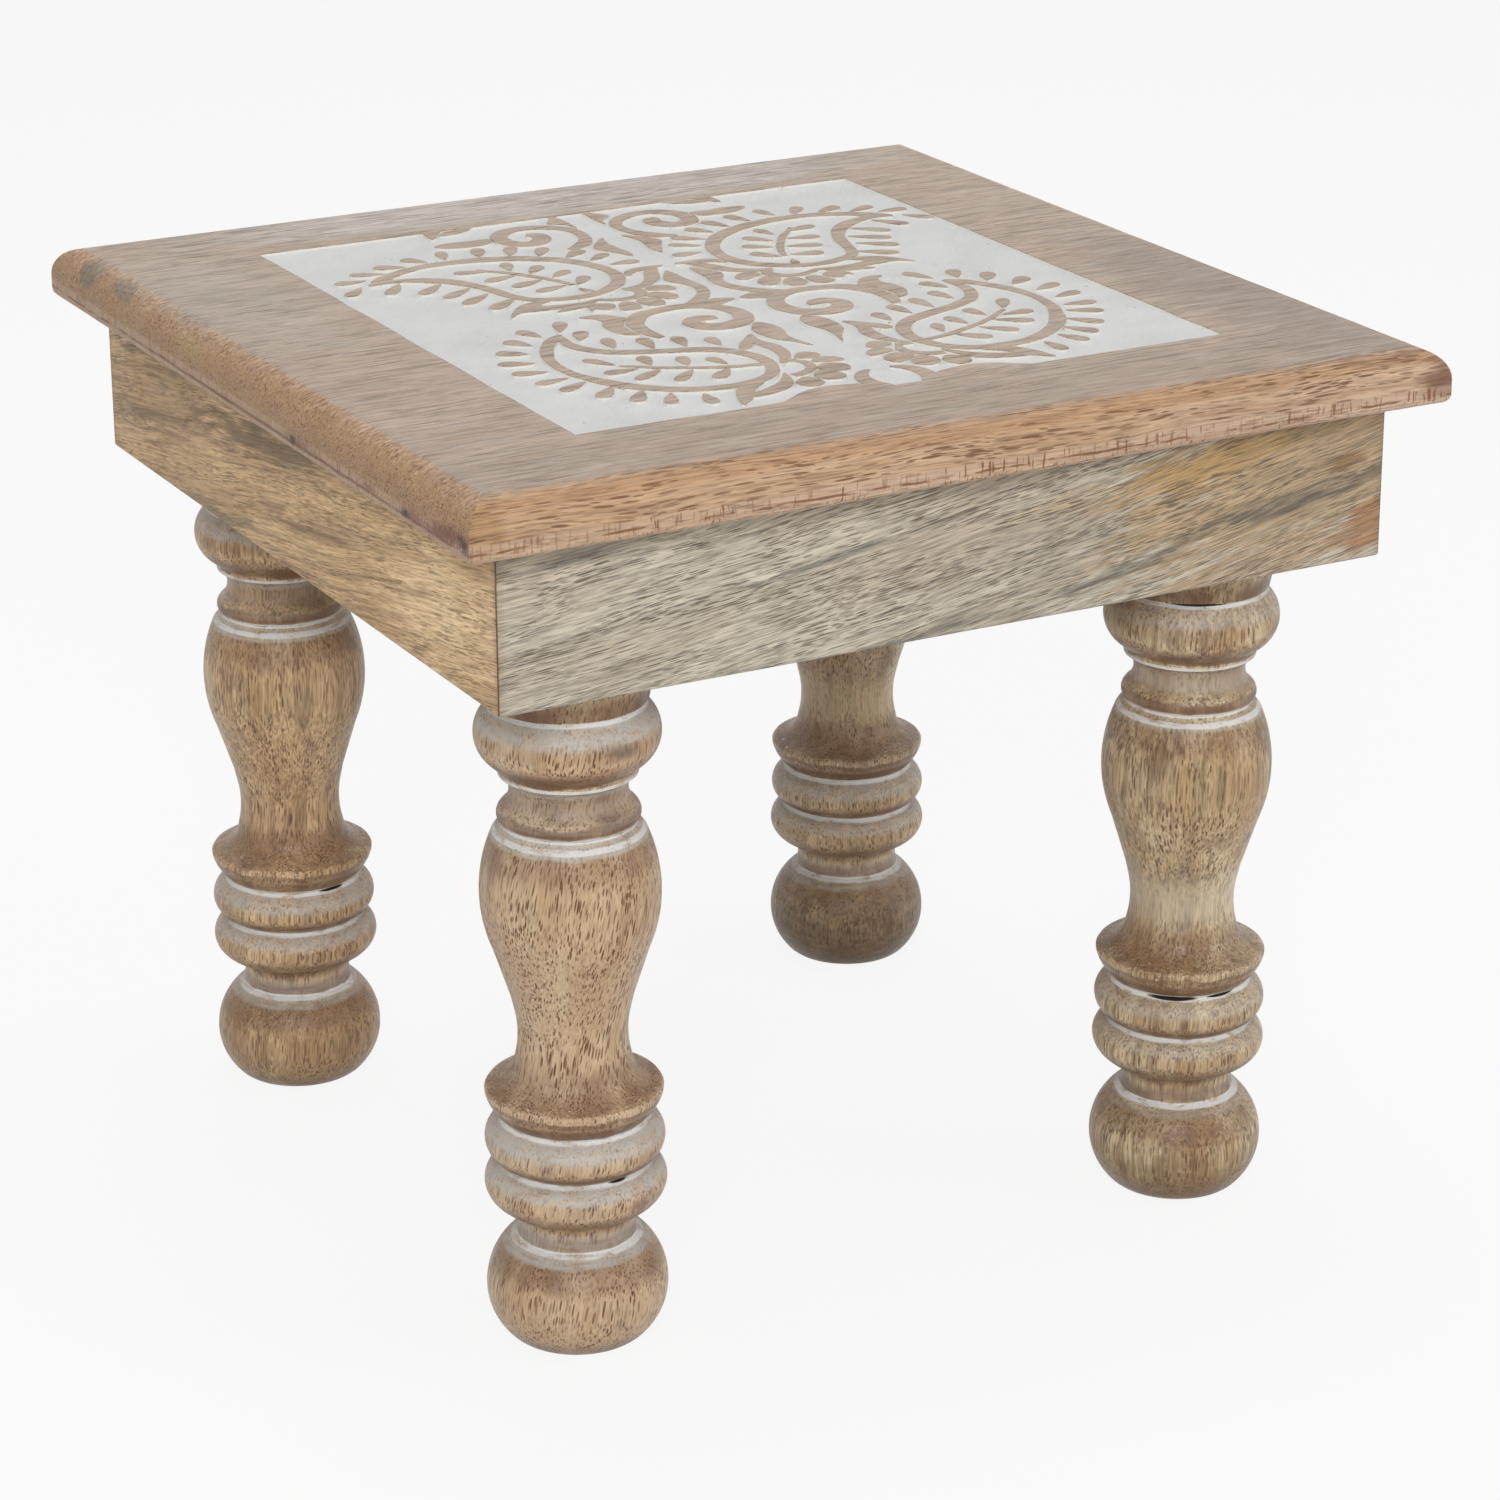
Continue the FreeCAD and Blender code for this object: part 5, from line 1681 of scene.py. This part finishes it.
BOARDS = {
    Side.FRONT: BoardFinish("apron_wood_front", Wood(
        pale=(0.555, 0.50, 0.395), warm=(0.48, 0.405, 0.31), streak=(0.26, 0.235, 0.20),
        pore=(0.13, 0.11, 0.085), turn=(0, -6, 0), centre=(-139, -139, 226), bend=0.0002,
        pore_size=(9, 0.6, 0.6), pore_reach=0.36, fleck_size=(6, 0.46, 0.46), fleck_reach=0.38,
        line_size=(18, 0.42), line_strength=0.7, streak_strength=0.4, fibre_depth=0.5,
        stains=(
            Stain((30, -139, 222), (60, 20, 14), (0.42, 0.375, 0.30), 0.5, (0, -9, 0), 0.1),
            Stain((112, -139, 234), (88, 20, 32), (0.43, 0.295, 0.165), 0.85, (0, -9, 0), 0.45),
            Stain((78, -139, 240), (50, 20, 9), (0.47, 0.30, 0.125), 0.85, (0, -9, 0), 0.2),
            Stain((30, -139, 236), (26, 20, 5), (0.50, 0.40, 0.26), 0.5, (0, -9, 0)),
            Stain((95, -139, 208), (60, 20, 8), (0.46, 0.32, 0.21), 0.7, (0, -9, 0)),
            Stain((136, -139, 215), (17, 20, 9), (0.38, 0.185, 0.085), 0.8, (0, -12, 0)),
            Stain((52, -139, 214), (44, 20, 3.6),
                  (0.11, 0.105, 0.095), 0.75, (0, -13, 0), 0, 1.6),
            Stain((114, -139, 226), (42, 20, 5), (0.11, 0.105, 0.09), 0.8, (0, -9, 0), 0, 1.6),
            Stain((126, -139, 234.5), (10, 20, 3.2), (0.22, 0.13, 0.055), 0.8, (0, -9, 0)),
            Stain((-10, -139, 206), (40, 20, 3), (0.17, 0.16, 0.14), 0.6, (0, -7, 0), 0.1),
            Stain((-112, -139, 245), (34, 20, 3.4), (0.20, 0.19, 0.17), 0.6, (0, -6, 0), 0.1),
            Stain((-40, -139, 232), (44, 20, 1.6), (0.17, 0.165, 0.15), 0.7, (0, -9, 0), 0.1),
        ),
    )),
    Side.LEFT: BoardFinish("apron_wood_left", Wood(
        pale=(0.69, 0.475, 0.255), warm=(0.55, 0.355, 0.18), streak=(0.25, 0.15, 0.075),
        pore=(0.15, 0.085, 0.042), turn=(0, 9.5, 90), centre=(0, 37, 11),
        pore_size=(8, 0.66, 0.66), pore_reach=0.35, fleck_size=(5, 0.5, 0.5), fleck_reach=0.34,
        pore_strength=0.6, line_size=(24, 0.5), line_strength=0.55, streak_strength=0.85,
        fibre_depth=0.5,
        stains=(
            # partly the wood's own colour, partly painted light: much paler near the front corner
            Stain((-139, -108, 224), (20, 56, 30), (0.88, 0.655, 0.385), 0.85, (-6, 0, 0), 0.1),
            Stain((-139, 95, 230), (20, 60, 18), (0.33, 0.195, 0.085), 0.5, (-8, 0, 0)),
            Stain((-139, 22, 237), (20, 70, 8), (0.15, 0.097, 0.05), 0.75, (-6, 0, 0), 0.1, 1.8),
            Stain((-139, 105, 244), (20, 40, 3.4),
                  (0.16, 0.105, 0.058), 0.6, (-9, 0, 0), 0.1, 1.5),
            Stain((-139, 112, 222), (20, 34, 3), (0.18, 0.12, 0.065), 0.6, (-9, 0, 0), 0.1, 1.5),
            Stain((-139, 60, 206), (20, 50, 4), (0.22, 0.17, 0.11), 0.5, (-6, 0, 0)),
            Stain((-139, -40, 226), (20, 70, 3), (0.28, 0.19, 0.11), 0.4, (-9, 0, 0)),
            Stain((-139, -70, 244), (20, 40, 3), (0.66, 0.52, 0.33), 0.7, (-6, 0, 0)),
        ),
    )),
    Side.RIGHT: BoardFinish("apron_wood_right", Wood(
        pale=(0.55, 0.43, 0.29), warm=(0.48, 0.35, 0.22), streak=(0.28, 0.22, 0.15),
        pore=(0.10, 0.07, 0.045), turn=(0, -4, 90), centre=(0, -61, 7),
        pore_size=(8, 0.75, 0.75), pore_reach=0.36, fleck_reach=0.36, line_size=(28, 0.45),
        stains=(
            Stain((139, -60, 236), (20, 70, 4), (0.14, 0.125, 0.10), 0.7, (6, 0, 0), 0.1),
            Stain((139, 70, 216), (20, 60, 9), (0.46, 0.31, 0.17), 0.6, (8, 0, 0)),
        ),
    )),
    Side.BACK: BoardFinish("apron_wood_back", Wood(
        pale=(0.54, 0.44, 0.31), warm=(0.49, 0.36, 0.23), streak=(0.28, 0.22, 0.16),
        pore=(0.10, 0.07, 0.045), turn=(0, 6, 0), centre=(83, 0, 5), pore_size=(8, 0.75, 0.75),
        pore_reach=0.36, fleck_reach=0.36, line_size=(28, 0.45),
        stains=(
            Stain((-40, 139, 222), (80, 20, 4), (0.15, 0.135, 0.11), 0.65, (0, 8, 0), 0.1),
            Stain((70, 139, 238), (60, 20, 8), (0.47, 0.33, 0.18), 0.6, (0, 6, 0)),
        ),
    )),
}
# painted shadow: the dark inside of a narrow slit along a turned groove
SLIT_SHADOW = (0.012, 0.008, 0.006)
LEGS = {
    Corner.FRONT_LEFT: LegFinish("leg_wood_front_left", Wood(
        pale=(0.615, 0.455, 0.29), warm=(0.53, 0.36, 0.215), streak=(0.39, 0.235, 0.13),
        pore=(0.15, 0.058, 0.022), turn=(0, -80, 0), pore_size=(7, 0.82, 0.82), pore_reach=0.4,
        fleck_size=(5, 0.66, 0.66), fleck_reach=0.38, pore_strength=1, line_size=(20, 0.6),
        line_strength=0.3, streak_strength=0.35, fibre_depth=0.3,
    ), stains=(
        Stain((-97.7, -127, 183), (10, 8, 3.6), (0.14, 0.095, 0.08), 0.75, (0, 0, 0), 0.1, 3),
        Stain((-98, -119, 161), (10, 6, 3), (0.17, 0.115, 0.095), 0.7, (0, 0, 0), 0.1, 3),
        Stain((-99, -119, 167), (4.5, 5, 2), (0.20, 0.13, 0.10), 0.7, (0, 0, 0), 0.1, 3),
        Stain((-94, -125, 47), (5, 6, 2.4), (0.18, 0.11, 0.085), 0.7, (0, 0, 0), 0.1, 3),
        Stain((-88, -121, 60), (4, 6, 2.4), (0.16, 0.13, 0.11), 0.7, (0, 0, 0), 0.1, 3),
        # painted shadow in a narrow slit of a groove
        Stain((-98.6, -122.3, 54.4), (3.6, 3, 0.6), SLIT_SHADOW, 1, (0, 0, 0), 0.6),
    )),
    Corner.FRONT_RIGHT: LegFinish("leg_wood_front_right", Wood(
        pale=(0.63, 0.49, 0.305), warm=(0.45, 0.30, 0.16), streak=(0.24, 0.155, 0.085),
        pore=(0.12, 0.058, 0.026), turn=(0, -88, 0), centre=(19, 7, 31), pore_size=(8, 1, 1),
        pore_reach=0.37, fleck_size=(4.6, 0.8, 0.8), fleck_reach=0.36, line_size=(24, 0.8),
        line_strength=0.6, streak_strength=0.9, fibre_depth=0.5,
    ), film_level=0.45, stains=(
        Stain((101, -101, 6), (40, 40, 20), (0.16, 0.08, 0.028), 0.7, (0, 0, 0), 0.5),
        Stain((101, -101, 165), (40, 40, 5), (0.60, 0.53, 0.43), 0.35, (0, 0, 0), 0.3),
        Stain((101, -101, 97), (40, 40, 14), (0.68, 0.60, 0.45), 0.5, (0, 0, 0), 0.3),
        # painted shadow in narrow slits of the grooves
        Stain((88, -118, 67.8), (9, 8, 0.8), SLIT_SHADOW, 1, (0, 0, 0), 0.7),
        Stain((102.3, -121.4, 68), (5.5, 6, 0.7), SLIT_SHADOW, 1, (0, 0, 0), 0.7),
        Stain((90, -121, 191.6), (12, 8, 0.6), SLIT_SHADOW, 1, (0, 0, 0), 0.6),
        Stain((116, -120, 181), (9, 9, 4), (0.15, 0.09, 0.05), 0.7, (0, 0, 0), 0.1, 3),
        Stain((118, -112, 140), (8, 9, 14), (0.22, 0.13, 0.065), 0.6, (0, 0, 0), 0.1, 3),
        Stain((82, -115, 143), (8, 9, 8), (0.22, 0.14, 0.075), 0.6, (0, 24, 0), 0.1, 3),
        Stain((98, -119, 118), (8, 9, 7), (0.24, 0.14, 0.07), 0.55, (0, -24, 0), 0.1, 3),
        Stain((91, -121, 20), (11, 9, 12), (0.19, 0.105, 0.05), 0.5, (0, 0, 0), 0.1, 3),
    )),
    Corner.BACK_LEFT: LegFinish("leg_wood_back_left", Wood(
        pale=(0.62, 0.435, 0.25), warm=(0.48, 0.31, 0.165), streak=(0.23, 0.14, 0.07),
        pore=(0.11, 0.052, 0.024), turn=(0, -87, 0), centre=(3, 17, 51),
        pore_size=(8, 0.9, 0.9), pore_reach=0.38, fleck_size=(5, 0.7, 0.7), fleck_reach=0.36,
        line_size=(22, 0.6), line_strength=0.6, streak_strength=0.65, fibre_depth=0.5,
    ), film_level=0.8, stains=(
        Stain((-101, 101, 10), (40, 40, 24), (0.19, 0.105, 0.045), 0.4, (0, 0, 0), 0.5),
        # painted shadow in a narrow slit of a groove
        Stain((-96.8, 81.2, 68), (5.5, 4, 0.7), SLIT_SHADOW, 1, (0, 0, 0), 0.7),
    )),
    Corner.BACK_RIGHT: LegFinish("leg_wood_back_right", Wood(
        pale=(0.56, 0.415, 0.26), warm=(0.44, 0.295, 0.165), streak=(0.22, 0.15, 0.085),
        pore=(0.09, 0.05, 0.025), turn=(0, -92, 0), centre=(29, 13, 5), pore_size=(4, 1, 1),
        pore_reach=0.38, fleck_size=(3, 0.8, 0.8), fleck_reach=0.38, streak_strength=0.7,
        fibre_depth=0.5,
    ), film_level=0.7, stains=(
        # painted shade: the far leg's foot much darker, as in the table's shadow
        Stain((101, 101, 10), (40, 40, 28), (0.07, 0.038, 0.014), 0.88, (0, 0, 0), 0.5),
        Stain((101, 101, 95), (40, 40, 12), (0.66, 0.53, 0.34), 0.45, (0, 0, 0), 0.3),
    )),
}
RAW_WOOD = Wood(
    pale=(0.56, 0.43, 0.28),
    warm=(0.50, 0.36, 0.22),
    streak=(0.36, 0.25, 0.15),
    pore=(0.16, 0.10, 0.06),
)
HIDDEN = HiddenPieces(
    BattenFinish("cleat_wood", RAW_WOOD),
    BattenFinish("dowel_wood", RAW_WOOD),
    ZincFinish(),
)


def main() -> None:
    """Build every piece in order, then the studio."""
    CarvedTop().build(SLAB)
    for side, finish in BOARDS.items():
        Apron().board(side, finish)
    for corner, leg_finish in LEGS.items():
        TurnedLeg().build(corner, leg_finish)
    HIDDEN.dress()
    Studio().set_up()


if __name__ == "__main__":
    logging.basicConfig(level=logging.INFO, format="%(message)s")
    main()
